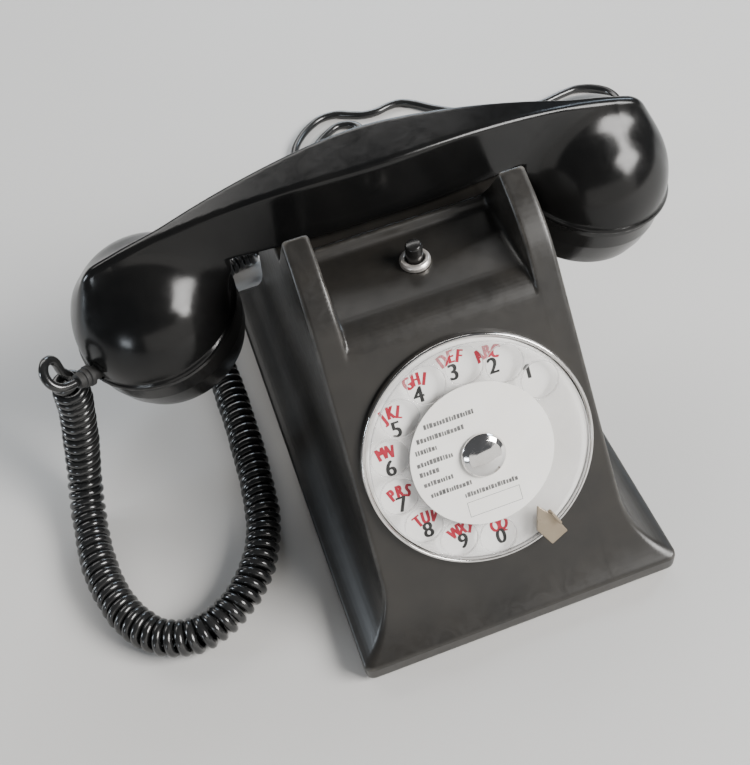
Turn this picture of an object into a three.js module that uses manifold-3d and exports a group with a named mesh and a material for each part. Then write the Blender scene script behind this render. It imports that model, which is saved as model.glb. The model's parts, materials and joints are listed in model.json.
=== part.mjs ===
// A desk telephone with a rotary dial, a cradle and a handset on a curly cord.
// Millimetres, +Z up, the front towards -Y. The origin is on the table, under the middle of the whole.
// The housing is built about X = 0 and moved, as the handset on it lies a little to the left.
import * as THREE from 'three';
import { mergeVertices } from 'three/addons/utils/BufferGeometryUtils.js';
import Module from 'manifold-3d';

const wasm = await Module();
wasm.setup();

// ---- driving dimensions -------------------------------------------------------------------------
const GAP = 0.3;                    // clearance kept between pieces that touch
const BASE = { half: 59, front: -96, rear: 96, bottom: 1.5, shoulder: 9, top: 10, lip: 1.4, corner: 4 };
const PLATE = { y: -56.8, z: 58.8, slope: 55.2, low: -45, bend: 64.6 };   // sloping front, at the dial centre
const FLARE = { front: PLATE.slope + 180, rear: -73, side: -89 };   // directions in which the flares start
const WALL = 3;                     // moulded wall of the housing
const TIP = { y: -1.1, z: 121.7 };  // front horns of the cradle
const CRADLE = { y: 29, floor: 99.7, half: 15 };               // seat of the handset
const REAR = { tipY: 48, tipZ: 104.6, y: 59, z: 99.4, lowY: 84, lowZ: 24 };   // lower horns and the back
const SCREWS = { front: -84, rear: 84 };       // the base plate's screws, on the centre line
const SIDE = { low: 44.2, lowZ: 31, high: 41, highZ: 122.5 };  // half width of the housing
const DECK = { half: 32, z: 99.7, rear: 8, floor: 3.5 };       // recess between the horns
const DIAL = { hole: 35.5, plate: 38.2, bezel: 40, wheel: 37.4, pitchRadius: 30.5, finger: 6.3 };
const HOLES = { count: 10, first: 35, pitch: 360 / 14 };       // finger holes, degrees from +X
const STOP_ANGLE = -65;
const BUTTON = { y: -6.3, hole: 4.5, ring: 5.2, pin: 2.9, top: 108.2 };
const PLUNGER = { x: 24, hole: 4, radius: 3.2, top: 100.5, bottom: 82 };
// The handset lies a little to the left and leans forward about its pivot line in the cradle.
const HANDSET = { x: -3.6, y: 26.7, pivot: 100, lean: 6, top: 128, half: 101, drop: 19.5 };
const HANDLE = { flat: 9.9, point: 0.5, round: 12, taper: 84, side: 12, depth: 26, under: 101.6, arch: 54 };
const BELL = { x: 83.9, z: 77.5, lip: 29.6, height: 30, tilt: 10, wall: 2.6 };
const CAP = { radius: 29.3, height: 21.5, straight: -8 };
const GONG = { x: 23, y: 50 };
const CORD_EXIT = { x: -34, z: 7.5, hole: 4.2 };    // holes in the rear of the housing
const LINE_EXIT = { x: 20, z: 7, hole: 3.7 };
const CURLY = { radius: 6.8, wire: 1.7 };
const LINE = { radius: 2, inner: 14, outer: 26, height: 16, x: 46, y: 138 };   // coil behind the telephone
const PLUG = { x: 145.5, y: 129.3, z: 7.5, heading: 235.2, half: 11, length: 43, blade: 14 };
const HANDSET_GLAND = { angle: 212, hole: 2.9, height: 4.5, rise: 30 };   // low on the left bell
const GEAR = { main: 24, pinion: 6, module: 1.5, angle: 150, play: 0.35 };   // pinion at this angle
const ROUND = 40;                   // segments of a large turned piece
const SMALL = 16;                   // segments of a small turned piece

// ---- finishes -----------------------------------------------------------------------------------
const finish = (color, roughness, metalness = 0, opacity = 1) => () => new THREE.MeshStandardMaterial(
  { color, roughness, metalness, opacity, transparent: opacity < 1 });
const FINISH = {
  bakelite: finish(0x17140f, 0.32),
  glossBlack: finish(0x0b0b0d, 0.12),
  blackTrim: finish(0x0c0c0c, 0.3),
  chrome: finish(0xd8d8da, 0.12, 1),
  nickel: finish(0xb9a77c, 0.3, 1),
  steel: finish(0x8b8d90, 0.45, 1),
  brass: finish(0xb08d4a, 0.35, 1),
  enamel: finish(0xe9e8e4, 0.3),
  card: finish(0xeeece6, 0.8),
  clear: finish(0xf2f2f0, 0.05, 0, 0.35),
  rubber: finish(0x1a1a1a, 0.8),
  cord: finish(0x0d0e10, 0.25),
  copper: finish(0x9c5b34, 0.5, 1),
  paxolin: finish(0x5a3a22, 0.6),
};

// ---- helpers ------------------------------------------------------------------------------------
const rad = (degrees) => (degrees * Math.PI) / 180;
const polar = (radius, degrees) => [radius * Math.cos(rad(degrees)), radius * Math.sin(rad(degrees))];

// A closed geometry with shared vertices and its faces pointing out.
function closed(geometry) {
  const bare = geometry.clone();
  bare.deleteAttribute('normal');
  bare.deleteAttribute('uv');
  const merged = mergeVertices(bare, 1e-4);
  const p = merged.attributes.position.array;
  const index = Array.from(merged.index.array);
  const kept = [];
  for (let i = 0; i < index.length; i += 3) {
    const [a, b, c] = index.slice(i, i + 3);
    if (a !== b && b !== c && a !== c) kept.push([a, b, c]);
  }
  let volume = 0;
  const at = (k) => new THREE.Vector3(p[3 * k], p[3 * k + 1], p[3 * k + 2]);
  for (const [a, b, c] of kept) volume += at(a).dot(at(b).cross(at(c)));
  const wound = volume < 0 ? kept.map(([a, b, c]) => [a, c, b]) : kept;
  merged.setIndex(wound.flat());
  return merged;
}

function solidOf(geometry) {
  const mesh = closed(geometry);
  return new wasm.Manifold(new wasm.Mesh({
    numProp: 3,
    vertProperties: new Float32Array(mesh.attributes.position.array),
    triVerts: new Uint32Array(mesh.index.array),
  }));
}

function geometryOf(solid) {
  const mesh = solid.getMesh();
  const geometry = new THREE.BufferGeometry();
  geometry.setAttribute('position', new THREE.BufferAttribute(new Float32Array(mesh.vertProperties), 3));
  geometry.setIndex(new THREE.BufferAttribute(new Uint32Array(mesh.triVerts), 1));
  return geometry;
}

// The three booleans, each taking a first geometry and any number more.
const combine = (step) => (first, ...rest) => geometryOf(
  rest.reduce((left, more) => step(left, solidOf(more)), solidOf(first)));
const cut = combine((left, more) => left.subtract(more));
const join = combine((left, more) => left.add(more));
const common = combine((left, more) => left.intersect(more));

const flatExtrude = (points, depth) => new THREE.ExtrudeGeometry(
  new THREE.Shape(points.map(([x, y]) => new THREE.Vector2(x, y))), { depth, bevelEnabled: false, steps: 1 });

const basis = (x, y, z) => new THREE.Matrix4().makeBasis(
  new THREE.Vector3(...x), new THREE.Vector3(...y), new THREE.Vector3(...z));

// Outlines in the planes YZ, XZ and XY, drawn out along X, Y and Z.
const alongX = (points, low, high) => flatExtrude(points, high - low)
  .applyMatrix4(basis([0, 1, 0], [0, 0, 1], [1, 0, 0])).translate(low, 0, 0);
const alongY = (points, low, high) => flatExtrude(points, high - low)
  .applyMatrix4(basis([1, 0, 0], [0, 0, 1], [0, -1, 0])).translate(0, high, 0);
const alongZ = (points, low, high) => flatExtrude(points, high - low).translate(0, 0, low);

// Points of an arc that leaves start in the direction given and ends at end.
function arc(start, end, direction, steps) {
  const chord = Math.atan2(end[1] - start[1], end[0] - start[0]);
  const turn = 2 * Math.atan2(Math.sin(chord - direction), Math.cos(chord - direction));
  const length = Math.hypot(end[0] - start[0], end[1] - start[1]);
  const radius = length / (2 * Math.sin(turn / 2));
  const centre = [start[0] - radius * Math.sin(direction), start[1] + radius * Math.cos(direction)];
  const points = [];
  for (let i = 0; i <= steps; i += 1) {
    const a = direction + (turn * i) / steps;
    points.push([centre[0] + radius * Math.sin(a), centre[1] - radius * Math.cos(a)]);
  }
  return points;
}

// A turned piece about Z from a profile of [radius, height], closed on itself or ending on the axis.
const turned = (profile, segments = ROUND) => new THREE.LatheGeometry(
  profile.map(([r, z]) => new THREE.Vector2(r, z)), segments).rotateX(Math.PI / 2);
const disc = (radius, low, high, segments = ROUND) => turned(
  [[0, low], [radius, low], [radius, high], [0, high]], segments);
const ring = (inner, outer, low, high, segments = ROUND) => turned(
  [[inner, low], [outer, low], [outer, high], [inner, high], [inner, low]], segments);
const block = (x, y, z, cx, cy, cz) => new THREE.BoxGeometry(x, y, z).translate(cx, cy, cz);

function piece(name, geometry, material, parent) {
  const mesh = new THREE.Mesh(closed(geometry), material());
  mesh.name = name;
  parent.add(mesh);
  return mesh;
}

// ---- frame of the dial: +Z out of the sloping plate, +Y up the slope ------------------------------
const telephone = new THREE.Group();
const group = new THREE.Group();
group.position.x = -HANDSET.x;
telephone.add(group);
const dial = new THREE.Group();
dial.position.set(0, PLATE.y, PLATE.z);
dial.rotation.x = rad(PLATE.slope);
group.add(dial);
const dialMatrix = new THREE.Matrix4().makeRotationX(rad(PLATE.slope)).setPosition(0, PLATE.y, PLATE.z);

const upSlope = (s, inward = 0) => [
  PLATE.y + s * Math.cos(rad(PLATE.slope)) + inward * Math.sin(rad(PLATE.slope)),
  PLATE.z + s * Math.sin(rad(PLATE.slope)) - inward * Math.cos(rad(PLATE.slope)),
];

// ---- housing ------------------------------------------------------------------------------------
function sideOutline() {
  const low = upSlope(PLATE.low);
  const cradleFront = [CRADLE.y - CRADLE.half, CRADLE.floor];
  const cradleRear = [CRADLE.y + CRADLE.half, CRADLE.floor];
  return [
    [BASE.front, BASE.bottom],
    [BASE.front, BASE.shoulder],
    ...arc(low, [BASE.front + BASE.lip, BASE.top], rad(FLARE.front), 6).reverse(),
    upSlope(PLATE.bend),
    [TIP.y, TIP.z],
    cradleFront,
    cradleRear,
    [REAR.tipY, REAR.tipZ],
    [REAR.y, REAR.z],
    ...arc([REAR.lowY, REAR.lowZ], [BASE.rear - BASE.lip, BASE.top], rad(FLARE.rear), 5),
    [BASE.rear, BASE.shoulder],
    [BASE.rear, BASE.bottom],
  ];
}

// The front view, or with a shrink its hollow, which starts below the base and keeps the wall's thickness.
function frontOutline(shrink, top) {
  const half = BASE.half - shrink;
  const lean = (SIDE.low - SIDE.high) / (SIDE.highZ - SIDE.lowZ);
  const flare = arc([SIDE.low - shrink, SIDE.lowZ], [half - BASE.lip, BASE.top - shrink], rad(FLARE.side), 6);
  const right = [
    [half, BASE.bottom - shrink],
    [half, BASE.shoulder - shrink],
    ...flare.reverse(),
    [SIDE.high - shrink + lean * (SIDE.highZ - top), top],
  ];
  return [...right, ...right.map(([x, z]) => [-x, z]).reverse()];
}

function roundedPlan(half, front, rear, corner) {
  const points = [];
  const centres = [[half - corner, rear - corner, 0], [corner - half, rear - corner, 90],
    [corner - half, front + corner, 180], [half - corner, front + corner, 270]];
  for (const [cx, cy, start] of centres) {
    for (let i = 0; i <= 4; i += 1) {
      const [dx, dy] = polar(corner, start + (90 * i) / 4);
      points.push([cx + dx, cy + dy]);
    }
  }
  return points;
}

function cavity() {
  const ceiling = DECK.z - DECK.floor;
  const climb = (ceiling - PLATE.z + WALL * Math.cos(rad(PLATE.slope))) / Math.sin(rad(PLATE.slope));
  const front = BASE.front + WALL;
  const rear = BASE.rear - WALL;
  const top = BASE.top - WALL;
  const frontFlare = arc(upSlope(PLATE.low, WALL), [front + BASE.lip, top], rad(FLARE.front), 4);
  const rearFlare = arc([REAR.lowY - WALL, REAR.lowZ], [rear - BASE.lip, top], rad(FLARE.rear), 4);
  const side = [
    [front, BASE.bottom - WALL],
    [front, BASE.shoulder - WALL],
    ...frontFlare.reverse(),
    upSlope(climb, WALL),
    [REAR.y - WALL, ceiling],
    ...rearFlare,
    [rear, BASE.shoulder - WALL],
    [rear, BASE.bottom - WALL],
  ];
  const hollow = alongX(side, -BASE.half, BASE.half);
  return common(hollow, alongY(frontOutline(WALL, ceiling), BASE.front, BASE.rear));
}

function bodyShell() {
  const outside = common(
    alongX(sideOutline(), -BASE.half, BASE.half),
    alongY(frontOutline(0, SIDE.highZ), BASE.front, BASE.rear),
    alongZ(roundedPlan(BASE.half, BASE.front, BASE.rear, BASE.corner), 0, 130),
  );
  const recess = block(2 * DECK.half, 80, 40, 0, DECK.rear - 40, DECK.z + 20);
  const dialHole = disc(DIAL.hole, -30, 5).applyMatrix4(dialMatrix);
  const buttonHole = disc(BUTTON.hole, 90, 110, SMALL).translate(0, BUTTON.y, 0);
  const plungerHoles = [-1, 1].map(
    (side) => disc(PLUNGER.hole, 90, 105, SMALL).translate(side * PLUNGER.x, CRADLE.y, 0));
  const cordHoles = [CORD_EXIT, LINE_EXIT].map((exit) => disc(exit.hole, -12, 12, 12)
    .rotateX(Math.PI / 2).translate(exit.x, BASE.rear, exit.z));
  const shell = cut(outside, cavity(), recess, dialHole, buttonHole, ...plungerHoles, ...cordHoles);
  const bosses = Object.values(SCREWS).map(
    (y) => common(outside, ring(2.1, 5, 3.3, 18, SMALL).translate(0, y, 0)));
  return join(shell, ...bosses);
}

function buildHousing() {
  piece('body_shell', bodyShell(), FINISH.bakelite, group);
  const inset = WALL + 0.6;
  const plan = roundedPlan(BASE.half - inset, BASE.front + inset, BASE.rear - inset, 2);
  const holes = Object.values(SCREWS).map((y) => disc(2.2, 0, 6, 12).translate(0, y, 0));
  piece('base_plate', cut(alongZ(plan, 1.8, 3), ...holes), FINISH.steel, group);
  for (const [end, y] of Object.entries(SCREWS)) {
    const screw = turned([[0, 0.7], [3, 0.7], [3.4, 1.5], [1.8, 1.5], [1.8, 10], [0, 10]], 12);
    piece(`base_screw_${end}`, screw.translate(0, y, 0), FINISH.steel, group);
  }
  for (const [side, x] of [['left', -46], ['right', 46]]) {
    for (const [end, y] of [['front', -80], ['rear', 80]]) {
      const foot = turned([[0, 0], [5.4, 0], [6.2, 1.5], [0, 1.5]], SMALL);
      piece(`foot_${end}_${side}`, foot.translate(x, y, 0), FINISH.rubber, group);
    }
  }
}

// ---- dial ---------------------------------------------------------------------------------------
function fingerWheel() {
  const wheel = ring(4.6, DIAL.wheel, 3.2, 5.2, 48);
  const holes = [];
  for (let i = 0; i < HOLES.count; i += 1) {
    const [x, y] = polar(DIAL.pitchRadius, HOLES.first + i * HOLES.pitch);
    holes.push(disc(DIAL.finger, 0, 8, 14).translate(x, y, 0));
  }
  return cut(wheel, ...holes);
}

function gearOutline(teeth, phase) {
  const pitch = (teeth * GEAR.module) / 2;
  const points = [];
  for (let i = 0; i < teeth; i += 1) {
    const middle = phase + (360 * i) / teeth;
    const step = 360 / teeth;
    points.push(polar(pitch - 1, middle - step * 0.3), polar(pitch - 1, middle - step * 0.24));
    points.push(polar(pitch + 0.7, middle - step * 0.1), polar(pitch + 0.7, middle + step * 0.1));
    points.push(polar(pitch - 1, middle + step * 0.24));
  }
  return points;
}

function buildDial() {
  piece('dial_bezel', turned([[38.5, 0.3], [DIAL.bezel, 0.3], [DIAL.bezel, 1.8], [39.5, 2.8], [38.9, 2.8],
    [38.5, 2.4], [38.5, 0.3]], 48), FINISH.chrome, dial);
  piece('number_plate', ring(5.2, DIAL.plate, 0.3, 1.5, 48), FINISH.enamel, dial);
  piece('finger_wheel', fingerWheel(), FINISH.clear, dial);
  piece('dial_card', ring(4.6, 24.5, 5.5, 6, 36), FINISH.card, dial);
  piece('centre_cap', turned([[0, 6.3], [7.6, 6.3], [7.6, 6.9], [6.6, 8], [4, 9], [0, 9.4]], 24),
    FINISH.chrome, dial);
  const blade = alongZ([[27.1, 1.7], [34, -3.9], [41.8, -3.2], [41.8, 3.7], [37, 3.7], [37, 4.2], [31.5, 4.2],
    [31.5, 2.9]], 5.7, 6.9);
  const leg = block(1.5, 6.9, 6, 41.05, 0.25, 3.4);
  const lip = block(5.5, 1, 2.6, 34.25, 3.7, 7.6);
  piece('finger_stop', join(blade, leg, lip), FINISH.nickel, dial).rotation.z = rad(STOP_ANGLE);

  const cup = turned([[3.4, -22], [34.8, -22], [34.8, -0.2], [33.4, -0.2], [33.4, -20.5], [3.4, -20.5],
    [3.4, -22]], ROUND);
  piece('dial_case', cup, FINISH.steel, dial);
  piece('dial_shaft', turned([[0, -25], [3, -25], [3, -14.2], [4.2, -14.2], [4.2, 4.9], [2.6, 4.9], [2.6, 6],
    [0, 6]], SMALL), FINISH.steel, dial);
  const mainGear = cut(alongZ(gearOutline(GEAR.main, 0), -14, -12.4), disc(4.5, -15, -12, SMALL));
  piece('main_gear', mainGear, FINISH.brass, dial);
  piece('return_spring', ring(5.4, 13.5, -9.5, -4.5, 24), FINISH.steel, dial);
  const cam = cut(alongZ([...Array(12).keys()].map((i) => polar(i % 2 ? 7 : 9, i * 30)), -17, -15.4),
    disc(3.3, -18, -15, SMALL));
  piece('pulse_cam', cam, FINISH.paxolin, dial);

  const governor = new THREE.Group();
  const reach = ((GEAR.main + GEAR.pinion) * GEAR.module) / 2 + GEAR.play;
  governor.position.set(...polar(reach, GEAR.angle), 0);
  dial.add(governor);
  const inMesh = GEAR.angle + 180 + 180 / GEAR.pinion;   // a pinion gap faces a gear tooth
  const pinion = alongZ(gearOutline(GEAR.pinion, inMesh), -14.2, -12.2);
  const spindle = turned([[0, -19.8], [1, -19.8], [1, -15], [1.6, -15], [1.6, -6], [0, -6]], 12);
  const fly = block(9, 3, 3.4, 0, 0, -8.2);
  piece('governor_spindle', join(spindle, pinion, fly), FINISH.brass, governor);
  const governorCup = turned([[7, -10.6], [8, -10.6], [8, -4], [0, -4], [0, -5.2], [7, -5.2], [7, -10.6]], 20);
  piece('governor_cup', governorCup, FINISH.steel, governor);
  const [px, py] = polar(26, -30);
  piece('pulse_contacts', block(11, 6, 9, px, py, -15.6), FINISH.paxolin, dial);
}

// ---- push button --------------------------------------------------------------------------------
function buildButton() {
  const place = (geometry) => geometry.translate(0, BUTTON.y, 0);
  piece('button_collar', place(turned([[3.2, 92.5], [4.1, 92.5], [4.1, 100], [BUTTON.ring, 100],
    [BUTTON.ring, 101.4], [4.6, 102.1], [3.6, 102.1], [3.2, 101.7], [3.2, 92.5]], 24)), FINISH.chrome, group);
  const nut = cut(disc(7.4, 93.6, 95.8, 6), disc(BUTTON.hole, 90, 99, SMALL));
  piece('button_nut', place(nut), FINISH.nickel, group);
  piece('push_button', place(turned([[0, 86], [4.4, 86], [4.4, 87.6], [BUTTON.pin, 87.6],
    [BUTTON.pin, BUTTON.top - 0.8], [2.3, BUTTON.top], [0, BUTTON.top]], 20)), FINISH.blackTrim, group);
  piece('button_spring', place(ring(2.4, 3.8, 78.3, 85.7, 12)), FINISH.steel, group);
  piece('button_contacts', place(block(16, 12, 14, 0, 0, 71)), FINISH.paxolin, group);
}

// ---- cradle switch ------------------------------------------------------------------------------
function buildCradleSwitch() {
  [['left', -1], ['right', 1]].forEach(([side, sign]) => {
    const rod = turned([[0, PLUNGER.bottom], [PLUNGER.radius, PLUNGER.bottom], [PLUNGER.radius, 99.6],
      [2.4, PLUNGER.top], [0, PLUNGER.top]], SMALL);
    piece(`cradle_plunger_${side}`, rod.translate(sign * PLUNGER.x, CRADLE.y, 0), FINISH.blackTrim, group);
  });
  piece('plunger_yoke', block(60, 9, 2.4, 0, CRADLE.y, 80.5), FINISH.steel, group);
  piece('plunger_spring', ring(4, 5.6, 66, 79, 12).translate(0, CRADLE.y, 0), FINISH.steel, group);
  piece('switch_bridge', block(77, 14, 2, 0, CRADLE.y, 64.7), FINISH.steel, group);
  piece('switch_contacts', block(18, 10, 22, 14, CRADLE.y + 14, 77), FINISH.paxolin, group);
}

// ---- handset ------------------------------------------------------------------------------------
// Height of the ridge above the table at a place along the handset.
const ridge = (x) => HANDSET.top - HANDSET.drop * (x / HANDSET.half) ** 2;

// Half width of the handle's flat top, widest in the middle and drawn out to a point at each end.
const topHalf = (x) => Math.max(
  HANDLE.point, HANDLE.flat * (1 - (Math.hypot(x, HANDLE.round) - HANDLE.round) / HANDLE.taper));

// The handle drawn straight along X, its top then shaped and the whole bent along the ridge.
function bentHandle() {
  const { side, depth } = HANDLE;
  const low = -depth;
  const section = [[-1, 0], [1, 0], [side, low + 2], [side - 2, low], [2 - side, low], [-side, low + 2]];
  const shape = new THREE.Shape(section.map(([y, z]) => new THREE.Vector2(y, z)));
  const length = 2 * HANDSET.half;
  const handle = new THREE.ExtrudeGeometry(shape, { depth: length, bevelEnabled: false, steps: 20 })
    .applyMatrix4(basis([0, 1, 0], [0, 0, 1], [1, 0, 0])).translate(-HANDSET.half, 0, 0);
  const at = handle.attributes.position;
  for (let i = 0; i < at.count; i += 1) {
    const x = at.getX(i);
    const y = at.getY(i);
    const wide = Math.abs(y) < 2 ? Math.sign(y) * topHalf(x) : y;
    at.setXYZ(i, x, wide, at.getZ(i) + ridge(x));
  }
  return handle;
}

// The bell's own frame has its lip at height 0 and its dome towards +Z.
const bellMatrix = (side) => new THREE.Matrix4().makeRotationY(rad(side * BELL.tilt))
  .setPosition(side * BELL.x, 0, BELL.z);

function dome(radius, height, low, rings, segments) {
  const points = low < 0 ? [[0, low], [radius, low], [radius, 0]] : [[0, 0], [radius, 0]];
  for (let i = 1; i < rings; i += 1) {
    const a = (Math.PI / 2) * (i / rings);
    points.push([radius * Math.cos(a), height * Math.sin(a)]);
  }
  return turned([...points, [0, height]], segments);
}

function handsetShell() {
  const hollow = block(2 * HANDLE.arch, 60, 40, 0, 0, HANDLE.under - 20);
  let shell = solidOf(bentHandle()).subtract(solidOf(hollow));
  for (const sign of [-1, 1]) {
    const below = disc(60, -80, 0, 24).applyMatrix4(bellMatrix(sign));
    const bell = dome(BELL.lip, BELL.height, 0, 7, 32).applyMatrix4(bellMatrix(sign));
    shell = shell.subtract(solidOf(below)).add(solidOf(bell));
  }
  for (const sign of [-1, 1]) {
    const hollowBell = dome(BELL.lip - BELL.wall, BELL.height - BELL.wall, -60, 4, 24);
    shell = shell.subtract(solidOf(hollowBell.applyMatrix4(bellMatrix(sign))));
  }
  const bore = disc(HANDSET_GLAND.hole, -10, 10, 12).applyMatrix4(glandMatrix);
  return geometryOf(shell.subtract(solidOf(bore)));
}

// The cord leaves the left bell low on its outer front side.
const glandMatrix = new THREE.Matrix4().multiplyMatrices(
  bellMatrix(-1),
  new THREE.Matrix4().makeRotationZ(rad(HANDSET_GLAND.angle))
    .multiply(new THREE.Matrix4().makeTranslation(BELL.lip - 0.6, 0, HANDSET_GLAND.height))
    .multiply(new THREE.Matrix4().makeRotationY(rad(90 - HANDSET_GLAND.rise))),
);

function buildHandset() {
  const pivot = new THREE.Group();
  pivot.position.set(HANDSET.x, HANDSET.y, HANDSET.pivot);
  pivot.rotation.x = rad(HANDSET.lean);
  group.add(pivot);
  const handset = new THREE.Group();
  handset.position.z = -HANDSET.pivot;
  pivot.add(handset);
  piece('handset_shell', handsetShell(), FINISH.glossBlack, handset);
  for (const [name, sign] of [['mouthpiece', -1], ['earpiece', 1]]) {
    const low = -CAP.height;
    const cap = turned([[0, low], [19, low], [25, low + 1.4], [27.6, low + 6], [CAP.radius, CAP.straight],
      [CAP.radius, -0.4], [26.6, -0.4], [26.6, -5.2], [0, -5.2]], 36);
    piece(`${name}_cap`, cap.applyMatrix4(bellMatrix(sign)), FINISH.blackTrim, handset);
    const capsule = turned([[0, -4.8], [22, -4.8], [24, -3], [24, 4], [14, 9], [0, 9]], 24);
    piece(`${name}_capsule`, capsule.applyMatrix4(bellMatrix(sign)), FINISH.steel, handset);
  }
  const gland = turned([[0, -1.5], [2.6, -1.5], [2.6, 3], [3.8, 3], [2.8, 8.5], [0, 8.5]], 12);
  piece('handset_gland', gland.applyMatrix4(glandMatrix), FINISH.rubber, handset);
}

// ---- bell, coils and circuit inside ---------------------------------------------------------------
function buildInside() {
  const gong = turned([[0, 26.8], [0, 28], [10, 28], [16, 25], [18.8, 18], [18.8, 12], [17.6, 12], [17.6, 18],
    [15.2, 24], [9.6, 26.8], [0, 26.8]], 24);
  const posts = [];
  for (const [side, sign] of [['left', -1], ['right', 1]]) {
    piece(`gong_${side}`, gong.clone().translate(sign * GONG.x, GONG.y, 0), FINISH.brass, group);
    posts.push(disc(3, 6, 26.5, 12).translate(sign * GONG.x, GONG.y, 0));
    const coil = turned([[0, -9], [8, -9], [8, 9], [0, 9]], SMALL).rotateY(Math.PI / 2);
    piece(`ringer_coil_${side}`, coil.translate(sign * 11, 10, 16), FINISH.copper, group);
  }
  piece('ringer_frame', join(block(76, 60, 1.6, 0, 30, 6), ...posts), FINISH.steel, group);
  const hammer = join(new THREE.CylinderGeometry(0.8, 0.8, 24, 8).translate(0, 12, 0),
    new THREE.SphereGeometry(2.4, 10, 8).translate(0, 24, 0));
  piece('clapper', hammer.translate(0, GONG.y - 24, 18), FINISH.steel, group);
  piece('clapper_pivot', disc(2.6, 7.1, 16.8, 12).translate(0, GONG.y - 24, 0), FINISH.steel, group);
  const transformer = turned([[0, -17], [9, -17], [9, 17], [0, 17]], SMALL).rotateY(Math.PI / 2);
  piece('induction_coil', transformer.translate(-12, -26, 14), FINISH.copper, group);
  piece('capacitor', block(20, 14, 19, 20, -26, 14), FINISH.steel, group);
  piece('terminal_block', block(40, 8, 6, 0, 74.6, 7.5), FINISH.paxolin, group);
}

// ---- cords ---------------------------------------------------------------------------------------
// Route points in the frame of the telephone, millimetres, the cord resting on the table.
const TAIL_ROUTE = [
  [-119.7, 9.36, 78.97], [-122.2, 7.8, 79.95], [-125, 6.8, 81.6], [-127.4, 7.9, 84], [-128.2, 11, 86.3],
  [-127.2, 14.8, 86.8], [-125.7, 17.6, 84.8], [-124.9, 18.8, 81.6], [-124.8, 19, 78.4],
];
const CURLY_ROUTE = [
  [-124.8, 19, 78], [-124.9, 20.3, 70], [-126.2, 21.8, 58], [-129.3, 22.3, 44], [-132.8, 21, 31],
  [-136.5, 17.4, 19], [-139.4, 9.4, 10.6], [-140.4, -2, 7.4], [-140.3, -14, 7.1], [-138, -29, 7.1],
  [-132.4, -44, 7.1], [-123, -55, 7.1], [-110, -59, 7.1], [-96, -54, 7.1], [-84, -42, 7.1],
  [-77, -26, 7.1], [-74.4, -6, 7.1],
  [-73.5, 16, 7.1], [-73.5, 40, 7.1], [-74, 64, 7.1], [-74, 86, 7.1], [-69.6, 104, 7.1], [-59, 117, 7.1],
  [-46, 121.4, 7.2], [-37.6, 118.6, 7.4], [-34.2, 112.6, 7.5], [-34, 106.5, 7.5],
];
const LINE_ROUTE = [
  [20, 105.95, 7], [20, 110, 6.6], [20, 114.5, 5.4], [20, 119, 3.8], [20.1, 122.5, 2.8], [20.2, 125.5, 2.4],
];
const LINE_TAIL_ROUTE = [
  [21.9, 153.5, 9.5], [18.2, 161.8, 8.3], [11.2, 169, 6.9], [5.6, 175.2, 5], [5, 181.8, 3.1],
  [9.2, 187.8, 2.1], [15.6, 193, 2.1], [22.8, 196.6, 2.1], [29.6, 194.8, 2.1], [33.4, 189, 2.1],
  [32.8, 182, 2.1], [28, 175.8, 2.1], [20.6, 171, 2.1], [12, 168.4, 2.1], [3, 169, 2.1],
  [-3.6, 173.8, 2.1], [-5.6, 181, 2.1], [-3.4, 188.6, 2.1], [1.4, 195.8, 2.1], [8.2, 202.4, 2.1],
  [16.4, 206.8, 2.1], [25, 206.6, 2.1], [32, 202.6, 2.1], [38.5, 199.4, 2.1], [45.5, 198.7, 2.1],
  [52.5, 200.3, 2.1], [59, 200.2, 2.1], [65.5, 195.8, 2.1], [73.5, 187.5, 2.1], [84.5, 178.5, 2.1],
  [99, 172, 2.1], [112, 166, 2.1], [125, 165, 2.1], [137.8, 167.3, 2.1], [146, 168, 2.1],
  [154, 165, 2.1], [160, 158.6, 2.1], [161.3, 150, 2.1], [157.5, 142.6, 2.9], [152, 137, 5.4],
  [147.5, 132, 7.4], [145.7, 129.6, 7.5],
];

const curveThrough = (points) => new THREE.CatmullRomCurve3(points.map((p) => new THREE.Vector3(...p)));

function tube(points, radius, sides, steps) {
  const outline = [...Array(sides).keys()].map((i) => polar(radius, ((i + 0.5) * 360) / sides));
  const shape = new THREE.Shape(outline.map(([x, y]) => new THREE.Vector2(x, y)));
  return new THREE.ExtrudeGeometry(shape, { steps, bevelEnabled: false, extrudePath: curveThrough(points) });
}

function glandOnRear(exit, reach, thick) {
  return turned([[0, -6], [exit.hole - GAP, -6], [exit.hole - GAP, GAP], [thick, GAP], [thick, 2],
    [thick * 0.72, reach], [0, reach]], 12).rotateX(-Math.PI / 2).translate(exit.x, BASE.rear, exit.z);
}

// A flat two-blade plug; its own frame has the cord's end at 0 and the blades towards +X.
function plug() {
  const { half, length, blade } = PLUG;
  const relief = turned([[0, 0], [2.7, 0], [3.6, 13], [0, 13]], 12).rotateY(Math.PI / 2);
  const outline = [[11, -5], [17, -half], [length - 3, -half], [length, 3 - half], [length, half - 3],
    [length - 3, half], [17, half], [11, 5]];
  const body = alongZ(outline, -PLUG.z, PLUG.z);
  const blades = [-1, 1].map((side) => block(blade + 1, 6, 1.2, length + blade / 2, side * 5.5, 0));
  return join(body, relief, ...blades);
}

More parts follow.
